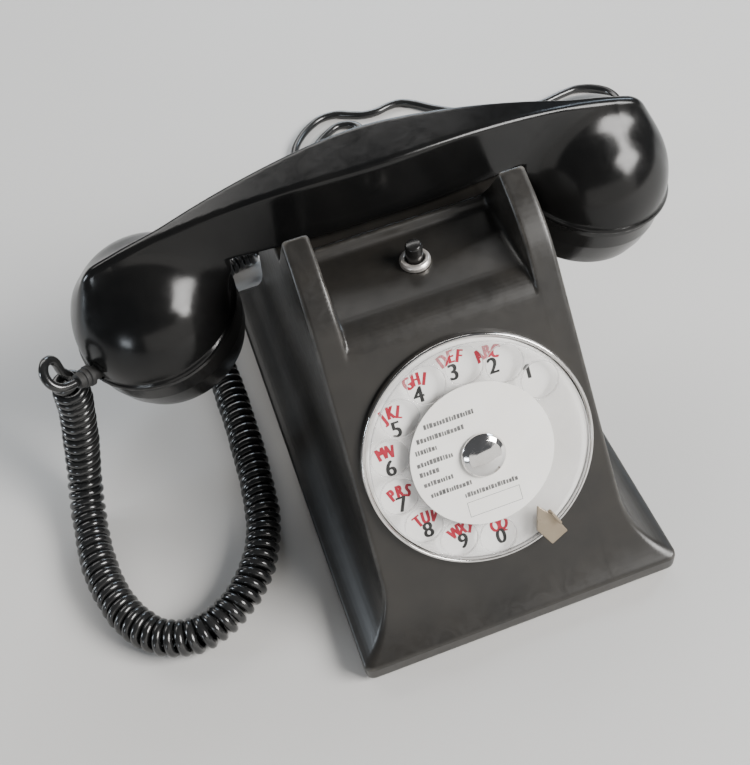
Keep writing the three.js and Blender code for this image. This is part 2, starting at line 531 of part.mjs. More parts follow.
function buildCords() {
  piece('handset_cord_tail', tube(TAIL_ROUTE, CURLY.wire, 8, 10), FINISH.cord, group);
  piece('handset_cord', tube(CURLY_ROUTE, CURLY.radius, 8, 46), FINISH.cord, group);
  piece('handset_cord_gland', glandOnRear(CORD_EXIT, 10, 5.4), FINISH.rubber, group);
  piece('line_cord_gland', glandOnRear(LINE_EXIT, 9.6, 4.6), FINISH.rubber, group);
  piece('line_cord_run', tube(LINE_ROUTE, LINE.radius, 8, 6), FINISH.cord, group);
  piece('line_cord_coil', ring(LINE.inner, LINE.outer, 0.1, LINE.height, 36).translate(LINE.x, LINE.y, 0),
    FINISH.cord, group);
  piece('line_cord_tail', tube(LINE_TAIL_ROUTE, LINE.radius, 8, 46), FINISH.cord, group);
  const linePlug = piece('line_plug', plug(), FINISH.blackTrim, group);
  linePlug.position.set(PLUG.x, PLUG.y, PLUG.z);
  linePlug.rotation.z = rad(PLUG.heading);
}

buildHousing();
buildDial();
buildButton();
buildCradleSwitch();
buildHandset();
buildInside();
buildCords();

export default telephone;
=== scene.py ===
"""Desk telephone with a rotary dial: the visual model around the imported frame, and its studio."""
import math
import bmesh
import bpy
import numpy as np
from mathutils import Matrix, Vector
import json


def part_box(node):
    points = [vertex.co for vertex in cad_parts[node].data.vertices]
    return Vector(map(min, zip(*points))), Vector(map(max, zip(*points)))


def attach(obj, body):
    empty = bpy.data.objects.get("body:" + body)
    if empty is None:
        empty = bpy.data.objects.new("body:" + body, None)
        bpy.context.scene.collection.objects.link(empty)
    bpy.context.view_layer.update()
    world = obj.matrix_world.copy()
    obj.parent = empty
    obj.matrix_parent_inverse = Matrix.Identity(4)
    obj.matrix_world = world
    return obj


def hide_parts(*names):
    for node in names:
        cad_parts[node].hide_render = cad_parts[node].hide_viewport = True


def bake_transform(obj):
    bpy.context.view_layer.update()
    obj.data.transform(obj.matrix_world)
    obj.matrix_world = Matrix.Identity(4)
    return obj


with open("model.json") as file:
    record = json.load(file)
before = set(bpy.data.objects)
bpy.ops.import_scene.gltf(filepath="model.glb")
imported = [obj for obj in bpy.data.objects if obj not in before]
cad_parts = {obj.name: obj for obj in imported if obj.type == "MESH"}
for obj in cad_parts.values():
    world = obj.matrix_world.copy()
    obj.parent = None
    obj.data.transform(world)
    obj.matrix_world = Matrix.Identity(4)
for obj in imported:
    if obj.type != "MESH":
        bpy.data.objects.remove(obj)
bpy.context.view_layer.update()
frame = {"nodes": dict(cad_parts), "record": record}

MM = 0.001
JOINTS = {j["name"]: j for j in frame["record"]["behaviour"]["joints"]}
SLOT_OF = {s["node"]: s["material_slot"] for s in frame["record"]["subparts"]}

# ---- places, in millimetres, from the frame ----


def box_mm(node):
    """Lowest and highest corner of a CAD node as arrays, in millimetres."""
    low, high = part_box(node)
    return np.array(low) / MM, np.array(high) / MM


HOUSING_LOW, HOUSING_HIGH = box_mm("body_shell")
MIDDLE = (HOUSING_LOW[0] + HOUSING_HIGH[0]) / 2  # the housing's plane of symmetry
DIAL_AT = np.array(JOINTS["dial_spin"]["pos_m"]) / MM
DIAL_OUT = np.array(JOINTS["dial_spin"]["axis"])
DIAL_UP = np.array([0, DIAL_OUT[2], -DIAL_OUT[1]])
SLOPE = math.atan2(DIAL_UP[2], DIAL_UP[1])

# ---- cord routes, as in the CAD source, about the housing's middle ----
TAIL_ROUTE = [
    (-119.7, 9.36, 78.97), (-122.2, 7.8, 79.95), (-125, 6.8, 81.6), (-127.4, 7.9, 84), (-128.2, 11, 86.3),
    (-127.2, 14.8, 86.8), (-125.7, 17.6, 84.8), (-124.9, 18.8, 81.6), (-124.8, 19, 78.4),
]
CURLY_ROUTE = [
    (-124.8, 19, 78), (-124.9, 20.3, 70), (-126.2, 21.8, 58), (-129.3, 22.3, 44), (-132.8, 21, 31),
    (-136.5, 17.4, 19), (-139.4, 9.4, 10.6), (-140.4, -2, 7.4), (-140.3, -14, 7.1), (-138, -29, 7.1),
    (-132.4, -44, 7.1), (-123, -55, 7.1), (-110, -59, 7.1), (-96, -54, 7.1), (-84, -42, 7.1),
    (-77, -26, 7.1), (-74.4, -6, 7.1), (-73.5, 16, 7.1), (-73.5, 40, 7.1), (-74, 64, 7.1), (-74, 86, 7.1),
    (-69.6, 104, 7.1), (-59, 117, 7.1), (-46, 121.4, 7.2), (-37.6, 118.6, 7.4), (-34.2, 112.6, 7.5),
    (-34, 106.5, 7.5),
]
LINE_ROUTE = [
    (20, 105.95, 7), (20, 110, 6.6), (20, 114.5, 5.4), (20, 119, 3.8), (20.1, 122.5, 2.8), (20.2, 125.5, 2.4),
]
LINE_TAIL_ROUTE = [
    (21.9, 153.5, 9.5), (18.2, 161.8, 8.3), (11.2, 169, 6.9), (5.6, 175.2, 5), (5, 181.8, 3.1),
    (9.2, 187.8, 2.1), (15.6, 193, 2.1), (22.8, 196.6, 2.1), (29.6, 194.8, 2.1), (33.4, 189, 2.1),
    (32.8, 182, 2.1), (28, 175.8, 2.1), (20.6, 171, 2.1), (12, 168.4, 2.1), (3, 169, 2.1),
    (-3.6, 173.8, 2.1), (-5.6, 181, 2.1), (-3.4, 188.6, 2.1), (1.4, 195.8, 2.1), (8.2, 202.4, 2.1),
    (16.4, 206.8, 2.1), (25, 206.6, 2.1), (32, 202.6, 2.1), (38.5, 199.4, 2.1), (45.5, 198.7, 2.1),
    (52.5, 200.3, 2.1), (59, 200.2, 2.1), (65.5, 195.8, 2.1), (73.5, 187.5, 2.1), (84.5, 178.5, 2.1),
    (99, 172, 2.1), (112, 166, 2.1), (125, 165, 2.1), (137.8, 167.3, 2.1), (146, 168, 2.1),
    (154, 165, 2.1), (160, 158.6, 2.1), (161.3, 150, 2.1), (157.5, 142.6, 2.9), (152, 137, 5.4),
    (147.5, 132, 7.4), (145.7, 129.6, 7.5),
]
CURL_WIRE = 1.7  # radius of the curly cord's wire
CURL_RADIUS = 5.1  # from the curl's middle to the wire's
CURL_PITCH = 3.9
CURL_POINTS = 20  # points in each curl
CURL_SWELL = 13.0  # over this length the curls grow out of the plain ends
CURL_PLAIN_END = 8.0
LINE_WIRE = 2.0
LINE_COIL = {"centre": (46, 138), "columns": (24.0, 20.0, 16.0), "layers": 4, "start": 175}


def placed(points):
    """Points about the housing's middle, moved into the frame."""
    return np.array(points, float) + [MIDDLE, 0, 0]


def smooth_curve(points, step):
    """A centripetal Catmull-Rom curve through the points, sampled evenly about every step."""
    p = np.array(points, float)
    p = np.vstack([2 * p[0] - p[1], p, 2 * p[-1] - p[-2]])
    out = []
    for a, b, c, d in zip(p, p[1:], p[2:], p[3:]):
        knots = np.cumsum([0] + [math.sqrt(np.linalg.norm(y - x)) for x, y in ((a, b), (b, c), (c, d))])
        t = np.linspace(knots[1], knots[2], 24, endpoint=False)[:, None]

        def mix(x, y, low, high):
            return (high - t) / (high - low) * x + (t - low) / (high - low) * y

        ab, bc, cd = mix(a, b, *knots[:2]), mix(b, c, *knots[1:3]), mix(c, d, *knots[2:])
        abc, bcd = mix(ab, bc, knots[0], knots[2]), mix(bc, cd, knots[1], knots[3])
        out.append(mix(abc, bcd, knots[1], knots[2]))
    dense = np.vstack([*out, p[-2:-1]])
    return evenly(dense, step)


def evenly(dense, step):
    """The same line, with its points the same distance apart."""
    run = np.concatenate([[0], np.cumsum(np.linalg.norm(np.diff(dense, axis=0), axis=1))])
    at = np.linspace(0, run[-1], max(2, int(round(run[-1] / step)) + 1))
    return np.stack([np.interp(at, run, dense[:, k]) for k in range(3)], 1)


def soft_step(t):
    return t * t * (3 - 2 * t)


def side_frames(line):
    """Two directions across the line at each point, carried along it without twist."""
    along = np.gradient(line, axis=0)
    along /= np.linalg.norm(along, axis=1)[:, None]
    first = np.cross(along[0], [0, 0, 1.0])
    if np.linalg.norm(first) < 0.1:
        first = np.cross(along[0], [1.0, 0, 0])
    across = [first / np.linalg.norm(first)]
    for direction in along[1:]:
        v = across[-1] - direction * (across[-1] @ direction)
        across.append(v / np.linalg.norm(v))
    across = np.array(across)
    return along, across, np.cross(along, across)


# ---- mesh helpers ----


def linked(name, data):
    """An object that holds this data, in the scene."""
    thing = bpy.data.objects.new(name, data)
    bpy.context.scene.collection.objects.link(thing)
    return thing


def frame_at(place, axes=np.eye(3)):
    """The 4x4 matrix of a frame at a place in millimetres, with its axes as columns."""
    at = np.eye(4)
    at[:3, :3] = axes
    at[:3, 3] = place
    return at


def turn_y(angle):
    c, s = math.cos(angle), math.sin(angle)
    return np.array([[c, 0, s], [0, 1, 0], [-s, 0, c]])


def turn_z(angle):
    c, s = math.cos(angle), math.sin(angle)
    return np.array([[c, -s, 0], [s, c, 0], [0, 0, 1]])


def moved(points, at):
    return points @ at[:3, :3].T + at[:3, 3]


def in_metres(at):
    place = Matrix(at.tolist())
    place.translation = place.translation * MM
    return place


def stands_for(nodes):
    """The piece takes the place of these CAD nodes, which are hidden."""
    if nodes:
        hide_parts(*nodes)


def add_mesh(name, vertices_mm, faces, look, body=None, nodes=(), slot=None, normals=None):
    """A smooth-shaded mesh in the frame, from vertices in millimetres."""
    mesh = bpy.data.meshes.new(name)
    mesh.from_pydata((np.asarray(vertices_mm, float) * MM).tolist(), [], [list(f) for f in faces])
    mesh.validate()
    mesh.shade_smooth()
    if normals is not None:
        mesh.normals_split_custom_set_from_vertices(np.asarray(normals).tolist())
    piece = linked(name, mesh)
    piece.data.materials.append(MATERIALS[look])
    if body:
        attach(piece, body)
    stands_for(nodes)
    return piece


def even_shading(piece, angle=40):
    """Flat faces keep flat shading next to their rounded edges."""
    piece.data.set_sharp_from_angle(angle=math.radians(angle))
    modifier = piece.modifiers.new("Shading", "WEIGHTED_NORMAL")
    modifier.keep_sharp = True
    modifier.weight = 100
    return piece


def tube_mesh(line, radius, sides):
    """Vertices and faces of a round tube along a line, closed at both ends. radius may vary."""
    _, across, other = side_frames(line)
    radii = np.broadcast_to(np.asarray(radius, float), (len(line),))
    turn = np.linspace(0, 2 * math.pi, sides, endpoint=False)
    ring = (np.cos(turn)[None, :, None] * across[:, None] + np.sin(turn)[None, :, None] * other[:, None])
    vertices = (line[:, None] + radii[:, None, None] * ring).reshape(-1, 3)
    faces = []
    for i in range(len(line) - 1):
        for k in range(sides):
            n = (k + 1) % sides
            faces.append((i * sides + k, i * sides + n, (i + 1) * sides + n, (i + 1) * sides + k))
    faces.append(tuple(reversed(range(sides))))
    faces.append(tuple((len(line) - 1) * sides + k for k in range(sides)))
    return vertices, faces


def rounded(profile, radius, closed=True, steps=4):
    """The outline with each corner replaced by an arc of about that radius."""
    points = [np.array(p, float) for p in profile]
    out = []
    for i, here in enumerate(points):
        if not closed and i in (0, len(points) - 1):
            out.append(here)
            continue
        back, ahead = points[i - 1] - here, points[(i + 1) % len(points)] - here
        lb, la = np.linalg.norm(back), np.linalg.norm(ahead)
        cosine = np.clip(back @ ahead / (lb * la), -1, 1)
        half = math.acos(cosine) / 2
        if half > math.radians(85):
            out.append(here)
            continue
        reach = min(radius / math.tan(half), 0.45 * lb, 0.45 * la)
        start, end = here + back / lb * reach, here + ahead / la * reach
        for k in range(steps + 1):
            t = k / steps
            out.append((1 - t) ** 2 * start + 2 * t * (1 - t) * here + t * t * end)
    return out


def turned_mesh(profile, segments):
    """Vertices and faces of a turned solid about +Z. The profile of (radius, height) runs anticlockwise."""
    vertices, rows = [], []
    for r, z in profile:
        if r < 1e-6:
            rows.append([len(vertices)] * segments)
            vertices.append((0, 0, z))
            continue
        rows.append(list(range(len(vertices), len(vertices) + segments)))
        for k in range(segments):
            a = 2 * math.pi * k / segments
            vertices.append((r * math.cos(a), r * math.sin(a), z))
    faces = []
    ends_on_axis = profile[0][0] < 1e-6 and profile[-1][0] < 1e-6
    pairs = list(zip(rows, rows[1:])) + ([] if ends_on_axis else [(rows[-1], rows[0])])
    for low, high in pairs:
        for k in range(segments):
            n = (k + 1) % segments
            face = [low[k], low[n], high[n], high[k]]
            face = [v for i, v in enumerate(face) if v != face[i - 1]]
            if len(face) > 2:
                faces.append(face)
    return np.array(vertices, float), faces


def turned(name, profile, at, look, body, fillet=0.3, segments=96, nodes=(), slot=None):
    """A turned piece, its edges rounded, in the place and direction of the 4x4 matrix at."""
    on_axis = profile[0][0] < 1e-6 and profile[-1][0] < 1e-6
    outline = rounded(profile, fillet, closed=not on_axis)
    vertices, faces = turned_mesh(outline, segments)
    return even_shading(add_mesh(name, moved(vertices, at), faces, look, body, nodes, slot))


def flat_curve(name, outlines):
    """A filled flat curve of closed outlines, the first the outside and the rest holes."""
    curve = bpy.data.curves.new(name, "CURVE")
    curve.dimensions = "2D"
    curve.fill_mode = "BOTH"
    for outline in outlines:
        spline = curve.splines.new("POLY")
        spline.points.add(len(outline) - 1)
        for point, (x, y) in zip(spline.points, outline):
            point.co = (x * MM, y * MM, 0, 1)
        spline.use_cyclic_u = True
    return curve


def curve_mesh(name, curve, look):
    """The mesh of a thick curve, with one material."""
    holder = linked(name, curve)
    bpy.context.view_layer.update()
    graph = bpy.context.evaluated_depsgraph_get()
    mesh = bpy.data.meshes.new_from_object(holder.evaluated_get(graph))
    bpy.data.objects.remove(holder)
    mesh.materials.clear()
    mesh.materials.append(MATERIALS[look])
    return mesh


def slab(name, outlines, low, high, at, look, body, bevel=0.4, nodes=()):
    """A flat piece with rounded edges from closed outlines, the first the outside and the rest holes."""
    curve = flat_curve(name, outlines)
    curve.extrude = ((high - low) / 2 - bevel) * MM
    curve.bevel_depth = bevel * MM
    curve.bevel_resolution = 3
    curve.offset = -bevel * MM
    mesh = curve_mesh(name, curve, look)
    mesh.transform(in_metres(at) @ Matrix.Translation((0, 0, (low + high) / 2 * MM)))
    work = bmesh.new()
    work.from_mesh(mesh)
    bmesh.ops.remove_doubles(work, verts=work.verts, dist=1e-6)
    bmesh.ops.recalc_face_normals(work, faces=work.faces)
    work.to_mesh(mesh)
    work.free()
    mesh.shade_smooth()
    mesh.name = name
    piece = linked(name, mesh)
    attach(piece, body)
    stands_for(nodes)
    return even_shading(piece)


def at_angle(radius, degrees):
    return radius * math.cos(math.radians(degrees)), radius * math.sin(math.radians(degrees))


def circle(radius, x=0.0, y=0.0, points=64):
    turn = np.linspace(0, 2 * math.pi, points, endpoint=False)
    return [(x + radius * math.cos(a), y + radius * math.sin(a)) for a in turn]


def joined(name, pieces, nodes=()):
    """One object from several meshes that share a body."""
    base = pieces[0]
    bpy.context.view_layer.update()
    work = bmesh.new()
    materials = []
    for piece in pieces:
        mesh = piece.data
        start = len(work.faces)
        work.from_mesh(mesh)
        work.faces.ensure_lookup_table()
        if mesh.materials[0] not in materials:
            materials.append(mesh.materials[0])
        for face in work.faces[start:]:
            face.material_index = materials.index(mesh.materials[0])
    work.to_mesh(base.data)
    work.free()
    base.data.materials.clear()
    for material in materials:
        base.data.materials.append(material)
    for piece in pieces[1:]:
        bpy.data.objects.remove(piece)
    base.name = name
    base.data.name = name
    stands_for(nodes)
    return base


# ---- solids from distance fields ----


def smooth_max(a, b, k):
    h = np.maximum(k - np.abs(a - b), 0) / k
    return np.maximum(a, b) + h * h * k / 4


def smooth_min(a, b, k):
    return -smooth_max(-a, -b, k)


def outline_distance(points, px, py):
    """Signed distance from a closed outline, negative inside."""
    best = np.full(np.broadcast(px, py).shape, np.inf)
    inside = np.zeros(best.shape, bool)
    for (ax, ay), (bx, by) in zip(points, points[1:] + points[:1]):
        ex, ey = bx - ax, by - ay
        wx, wy = px - ax, py - ay
        t = np.clip((wx * ex + wy * ey) / (ex * ex + ey * ey), 0, 1)
        best = np.minimum(best, (wx - ex * t) ** 2 + (wy - ey * t) ** 2)
        if abs(ey) > 1e-12:
            inside ^= ((ay > py) != (by > py)) & (px < ex * (py - ay) / ey + ax)
    return np.where(inside, -1, 1) * np.sqrt(best)


def field_mesh(field, low, high, cell):
    """Vertices, quads and normals of the surface where the field is zero, by surface nets."""
    axes = [np.arange(low[k], high[k] + cell, cell) for k in range(3)]
    value = field(*np.meshgrid(*axes, indexing="ij", sparse=True))
    value = np.where(value == 0, 1e-9, value)
    shape = np.array(value.shape) - 1
    total = np.zeros((4, int(np.prod(shape))))
    quads = []
    for axis in range(3):
        others = [k for k in range(3) if k != axis]
        a = np.take(value, range(value.shape[axis] - 1), axis)
        b = np.take(value, range(1, value.shape[axis]), axis)
        at = np.argwhere((a < 0) != (b < 0))
        va, vb = a[tuple(at.T)], b[tuple(at.T)]
        point = at.astype(float)
        point[:, axis] += va / (va - vb)
        corners = []
        inner = np.ones(len(at), bool)
        for du, dv in ((0, 0), (-1, 0), (-1, -1), (0, -1)):
            c = at.copy()
            c[:, others[0]] += du
            c[:, others[1]] += dv
            good = np.all((c >= 0) & (c < shape), axis=1)
            inner &= good
            flat = np.ravel_multi_index(np.clip(c, 0, shape - 1).T, shape)
            for k in range(3):
                total[k] += np.bincount(flat[good], point[good, k], total.shape[1])
            total[3] += np.bincount(flat[good], minlength=total.shape[1])
            corners.append(flat)
        quad = np.stack(corners, 1)[inner]
        turn = (va[inner] < 0) != (axis == 1)
        quad[~turn] = quad[~turn][:, ::-1]
        quads.append(quad)
    used = total[3] > 0
    index = np.cumsum(used) - 1
    vertices = (total[:3, used] / total[3, used]).T * cell + np.array(low)
    faces = index[np.vstack(quads)]
    ends = np.concatenate([faces, np.roll(faces, 1, axis=1)], axis=1).reshape(-1)
    others = np.concatenate([np.roll(faces, 1, axis=1), faces], axis=1).reshape(-1)
    count = np.bincount(ends, minlength=len(vertices))[:, None]
    for passes in range(5):
        here, slope = field_at(field, vertices, 0.02)
        length = np.linalg.norm(slope, axis=1)
        normals = slope / np.maximum(length, 1e-9)[:, None]
        step = np.clip(here / np.maximum(length, 0.2), -0.5 * cell, 0.5 * cell)
        vertices = vertices - normals * step[:, None]
        if passes < 3:
            around = np.stack([np.bincount(ends, vertices[others, k], len(vertices)) for k in range(3)], 1)
            drift = 0.5 * (around / count - vertices)
            vertices = vertices + drift - normals * (drift * normals).sum(1)[:, None]
    return vertices, faces, normals


def field_at(field, points, reach):
    """The field and its gradient at scattered points."""
    slope = np.zeros_like(points)
    for k in range(3):
        step = np.zeros(3)
        step[k] = reach
        slope[:, k] = (field(*(points + step).T) - field(*(points - step).T)) / (2 * reach)
    return field(*points.T), slope


# ---- node materials ----


class Nodes:
    """A short way to write a node tree."""

    def __init__(self, name):
        self.material = bpy.data.materials.new(name)
        self.material.use_nodes = True
        self.tree = self.material.node_tree
        self.shader = self.tree.nodes["Principled BSDF"]
        self.output = self.tree.nodes["Material Output"]
        self.place = self.tree.nodes.new("ShaderNodeTexCoord").outputs["Object"]

    def add(self, kind, inputs=(), **settings):
        node = self.tree.nodes.new(kind)
        for key, value in settings.items():
            setattr(node, key, value)
        for key, value in dict(inputs).items():
            self.put(node.inputs[key], value)
        return node

    def put(self, socket, value):
        if isinstance(value, bpy.types.NodeSocket):
            self.tree.links.new(value, socket)
        else:
            socket.default_value = value

    def noise(self, scale, detail=3.0, roughness=0.55, stretch=(1, 1, 1), twist=0.0):
        mapping = self.add("ShaderNodeMapping", {"Vector": self.place, "Scale": stretch})
        return self.add("ShaderNodeTexNoise", {
            "Vector": mapping.outputs["Vector"], "Scale": scale, "Detail": detail,
            "Roughness": roughness, "Distortion": twist}).outputs["Fac"]

    def spread(self, value, low, high, start=0.3, end=0.7):
        return self.add("ShaderNodeMapRange", {
            "Value": value, "From Min": start, "From Max": end, "To Min": low, "To Max": high,
        }).outputs["Result"]

    def mixed(self, factor, a, b):
        """The mix of two colours, whose sockets are numbers 6 and 7 of the node's."""
        return self.add("ShaderNodeMix", {"Factor": factor, 6: a, 7: b}, data_type="RGBA").outputs[2]

    def math(self, kind, a, b=0.0):
        return self.add("ShaderNodeMath", {0: a, 1: b}, operation=kind).outputs["Value"]

    def bump(self, height, strength, distance):
        node = self.add("ShaderNodeBump", {"Height": height, "Strength": strength, "Distance": distance})
        self.put(self.shader.inputs["Normal"], node.outputs["Normal"])

    def edges(self, start, end):
        """0 on flat and hollow stretches, rising to 1 on sharp outer edges."""
        point = self.add("ShaderNodeNewGeometry").outputs["Pointiness"]
        return self.spread(point, 0.0, 1.0, start, end)


def grey(value, warm=0.0):
    return (value * (1 + warm), value, value * (1 - warm), 1)


MATERIALS = {}


def worn_surface(name, base, other, rough, rougher, metallic=0.0, patch=60.0, fine=900.0, bump=0.15,
                 depth=0.00004, wear=None, wear_from=(0.52, 0.6), coat=0.0, specular=0.5, stretch=(1, 1, 1)):
    """A surface with two tones in soft patches, uneven gloss, a fine bump and, if asked, worn edges."""
    n = Nodes(name)
    cloud = n.noise(patch, 4.0)
    grain = n.noise(fine, 2.0, stretch=stretch)
    smear = n.noise(patch * 2.7, 5.0, 0.65, twist=1.5)
    color = n.mixed(n.spread(cloud, 0.0, 1.0, 0.35, 0.65), base, other)
    gloss = n.spread(smear, rough, rougher, 0.3, 0.75)
    if wear is not None:
        edge = n.math("MULTIPLY", n.edges(*wear_from), n.spread(n.noise(220.0, 4.0), 0.25, 1.0, 0.4, 0.62))
        color = n.mixed(edge, color, wear)
        gloss = n.math("ADD", gloss, n.math("MULTIPLY", edge, 0.2))
    n.put(n.shader.inputs["Base Color"], color)
    n.put(n.shader.inputs["Roughness"], gloss)
    n.shader.inputs["Metallic"].default_value = metallic
    n.shader.inputs["Specular IOR Level"].default_value = specular
    n.shader.inputs["Coat Weight"].default_value = coat
    n.shader.inputs["Coat Roughness"].default_value = 0.06
    n.bump(grain, bump, depth)
    MATERIALS[name] = n.material


def clear_plastic(name):
    """Clear moulded plastic, faint face on and stronger at its edges, with fine scratches, and painted shade:
    its colour is darker where it is seen edge-on.
    """
    n = Nodes(name)
    facing = n.add("ShaderNodeLayerWeight", {"Blend": 0.35}).outputs["Facing"]
    haze = n.noise(45.0, 5.0, 0.6)
    scratch = n.noise(380.0, 3.0, 0.6, stretch=(1, 9, 1), twist=2.0)
    alpha = n.math("ADD", n.spread(facing, 0.06, 0.80, 0.0, 0.9), n.spread(haze, 0.0, 0.05, 0.4, 0.7))
    n.put(n.shader.inputs["Alpha"], alpha)
    face = n.mixed(haze, grey(0.74, 0.01), grey(0.84, 0.015))
    # painted shade: the colour turns dark grey where the surface is seen edge-on, standing in for the dark
    # reflections and shade on the wheel's rims
    rim = n.spread(facing, 0.0, 1.0, 0.45, 0.85)
    n.put(n.shader.inputs["Base Color"], n.mixed(rim, face, grey(0.36)))
    n.put(n.shader.inputs["Roughness"], n.spread(scratch, 0.04, 0.16, 0.45, 0.75))
    n.shader.inputs["IOR"].default_value = 1.49
    n.bump(scratch, 0.04, 0.00003)
    MATERIALS[name] = n.material


worn_surface("bakelite", (0.014, 0.013, 0.0118, 1), (0.021, 0.019, 0.0165, 1), 0.30, 0.42, bump=0.10,
             wear=(0.20, 0.185, 0.165, 1), wear_from=(0.525, 0.60))
worn_surface("handset_gloss", grey(0.0045, -0.03), grey(0.008, 0.02), 0.15, 0.26, patch=40.0, bump=0.05,
             specular=0.3, wear=grey(0.09), wear_from=(0.55, 0.66))
worn_surface("black_trim", grey(0.010), grey(0.016, 0.05), 0.12, 0.28, bump=0.06, wear=grey(0.07),
             wear_from=(0.55, 0.66))
worn_surface("bright_plate", grey(0.78, 0.01), grey(0.66, 0.03), 0.05, 0.16, 1.0, patch=120.0, bump=0.05)
worn_surface("nickel", (0.62, 0.55, 0.46, 1), (0.52, 0.45, 0.36, 1), 0.26, 0.40, 0.75, patch=120.0,
             bump=0.12, wear=(0.62, 0.50, 0.33, 1), wear_from=(0.53, 0.6))
worn_surface("stop_metal", (0.40, 0.335, 0.255, 1), (0.30, 0.245, 0.18, 1), 0.24, 0.42, 0.85)
worn_surface("satin_plate", grey(0.86, 0.05), grey(0.76, 0.06), 0.26, 0.38, 0.8, patch=150.0, bump=0.08)
worn_surface("enamel", (0.91, 0.90, 0.885, 1), (0.84, 0.825, 0.795, 1), 0.16, 0.34, patch=35.0, bump=0.05)
clear_plastic("clear")
worn_surface("card", (0.96, 0.945, 0.91, 1), (0.91, 0.885, 0.845, 1), 0.5, 0.75, patch=50.0, fine=2600.0,
             bump=0.25)
worn_surface("steel", grey(0.48), grey(0.34, 0.03), 0.28, 0.5, 1.0, patch=90.0, bump=0.25,
             stretch=(1, 14, 1))
worn_surface("brass", (0.60, 0.42, 0.17, 1), (0.42, 0.28, 0.11, 1), 0.25, 0.45, 1.0, bump=0.2)
worn_surface("black_rubber", grey(0.018), grey(0.032, 0.05), 0.55, 0.8, fine=2200.0, bump=0.4)
worn_surface("cord", grey(0.010, -0.05), grey(0.018), 0.14, 0.30, patch=90.0, bump=0.06, coat=0.25)
worn_surface("plug", grey(0.014), grey(0.022, 0.04), 0.3, 0.5, bump=0.15, wear=grey(0.06),
             wear_from=(0.54, 0.62))
worn_surface("copper", (0.45, 0.20, 0.09, 1), (0.30, 0.12, 0.06, 1), 0.3, 0.5, 1.0, fine=1400, bump=0.6,
             stretch=(12, 1, 1))
worn_surface("laminate", (0.20, 0.105, 0.05, 1), (0.13, 0.065, 0.03, 1), 0.35, 0.6, bump=0.2,
             stretch=(1, 1, 10))
worn_surface("black_ink", grey(0.010), grey(0.03), 0.35, 0.5, patch=500.0)
worn_surface("red_ink", (0.33, 0.006, 0.022, 1), (0.42, 0.02, 0.045, 1), 0.35, 0.5, patch=500.0)
worn_surface("grey_ink", grey(0.07, 0.02), grey(0.16, 0.03), 0.5, 0.7, patch=700.0)

# ---- camera ----
CAMERA_AT = (-59.3, -232.4, 339.5)
CAMERA_ELEVATION = 52.0
CAMERA_AZIMUTH = 10.6  # the camera looks this far to the right of +Y
CAMERA_ROLL = 10.46  # the picture's right side, measured from the level
FOCAL_LENGTH = 47.54


def make_camera():
    data = bpy.data.cameras.new("camera")
    data.lens = FOCAL_LENGTH
    data.sensor_width = 36
    data.clip_start = 0.01
    camera = linked("camera", data)
    a, e = math.radians(CAMERA_AZIMUTH), math.radians(CAMERA_ELEVATION)
    look = Vector((math.sin(a) * math.cos(e), math.cos(a) * math.cos(e), -math.sin(e)))
    level = look.cross(Vector((0, 0, 1))).normalized()
    turn = Matrix.Rotation(math.radians(CAMERA_ROLL), 3, look)
    right = turn @ level
    up = right.cross(look)
    rows = [(right[k], up[k], -look[k]) for k in range(3)]
    camera.matrix_world = Matrix(rows).to_4x4()
    camera.matrix_world.translation = Vector(CAMERA_AT) * MM
    bpy.context.scene.camera = camera


# ---- cords ----


def curled_line():
    """The curly cord's own centreline: a short plain start, the curls, and a plain end in its gland."""
    spine = smooth_curve(placed(CURLY_ROUTE), 0.15)
    _, across, other = side_frames(spine)
    run = np.concatenate([[0], np.cumsum(np.linalg.norm(np.diff(spine, axis=0), axis=1))])
    start, end = 1.0, run[-1] - CURL_PLAIN_END
    at = np.arange(start, end, CURL_PITCH / CURL_POINTS)
    swell = soft_step(np.clip(np.minimum((at - start) / CURL_SWELL, (end - at) / CURL_SWELL), 0, 1))
    phase = np.cumsum(swell ** 2) * 2 * math.pi / CURL_POINTS
    wobble = 1 + 0.02 * np.sin(phase / 7.3) + 0.015 * np.sin(phase / 2.9 + 1)

    def pick(rows):
        return np.stack([np.interp(at, run, rows[:, k]) for k in range(3)], 1)

    radius = (CURL_RADIUS * swell * wobble)[:, None]
    circling = np.cos(phase)[:, None] * pick(across) + np.sin(phase)[:, None] * pick(other)
    curls = pick(spine) + radius * circling
    tail = smooth_curve(placed(TAIL_ROUTE), 0.5)
    last = spine[run > end + 0.5][::6]
    return smooth_curve(np.vstack([tail[::4], curls, last]), 0.9)


def make_curly_cord():
    line = curled_line()
    piece = add_mesh("curly_cord", *tube_mesh(line, CURL_WIRE, 10), "cord",
                     nodes=("handset_cord", "handset_cord_tail"))
    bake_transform(piece)


def wound_coil():
    """The line cord's round coil, clockwise: columns side by side, layer on layer."""
    cx, cy = LINE_COIL["centre"]
    columns = LINE_COIL["columns"]
    settling = 0.7  # the share of a turn after which the cord moves on to its next place
    stops = []
    for layer in range(LINE_COIL["layers"]):
        order = columns if layer % 2 == 0 else columns[::-1]
        stops += [(r, LINE_WIRE + 0.1 + layer * 2 * LINE_WIRE) for r in order]
    steps = 24
    points = []
    for i, (r, z) in enumerate(stops):
        ahead = stops[min(i + 1, len(stops) - 1)]
        for k in range(steps):
            t = soft_step(max(0.0, (k / steps - settling) / (1 - settling)))
            angle = math.radians(LINE_COIL["start"]) - 2 * math.pi * (i + k / steps)
            radius = r + (ahead[0] - r) * t
            points.append((cx + radius * math.cos(angle), cy + radius * math.sin(angle),
                           z + (ahead[1] - z) * t))
    return points


PLUG_AT = (145.5, 129.3, 7.5)
PLUG_HEADING = 235.2
PLUG_HALF, PLUG_LENGTH, PLUG_BLADE = 11.0, 43.0, 14.0


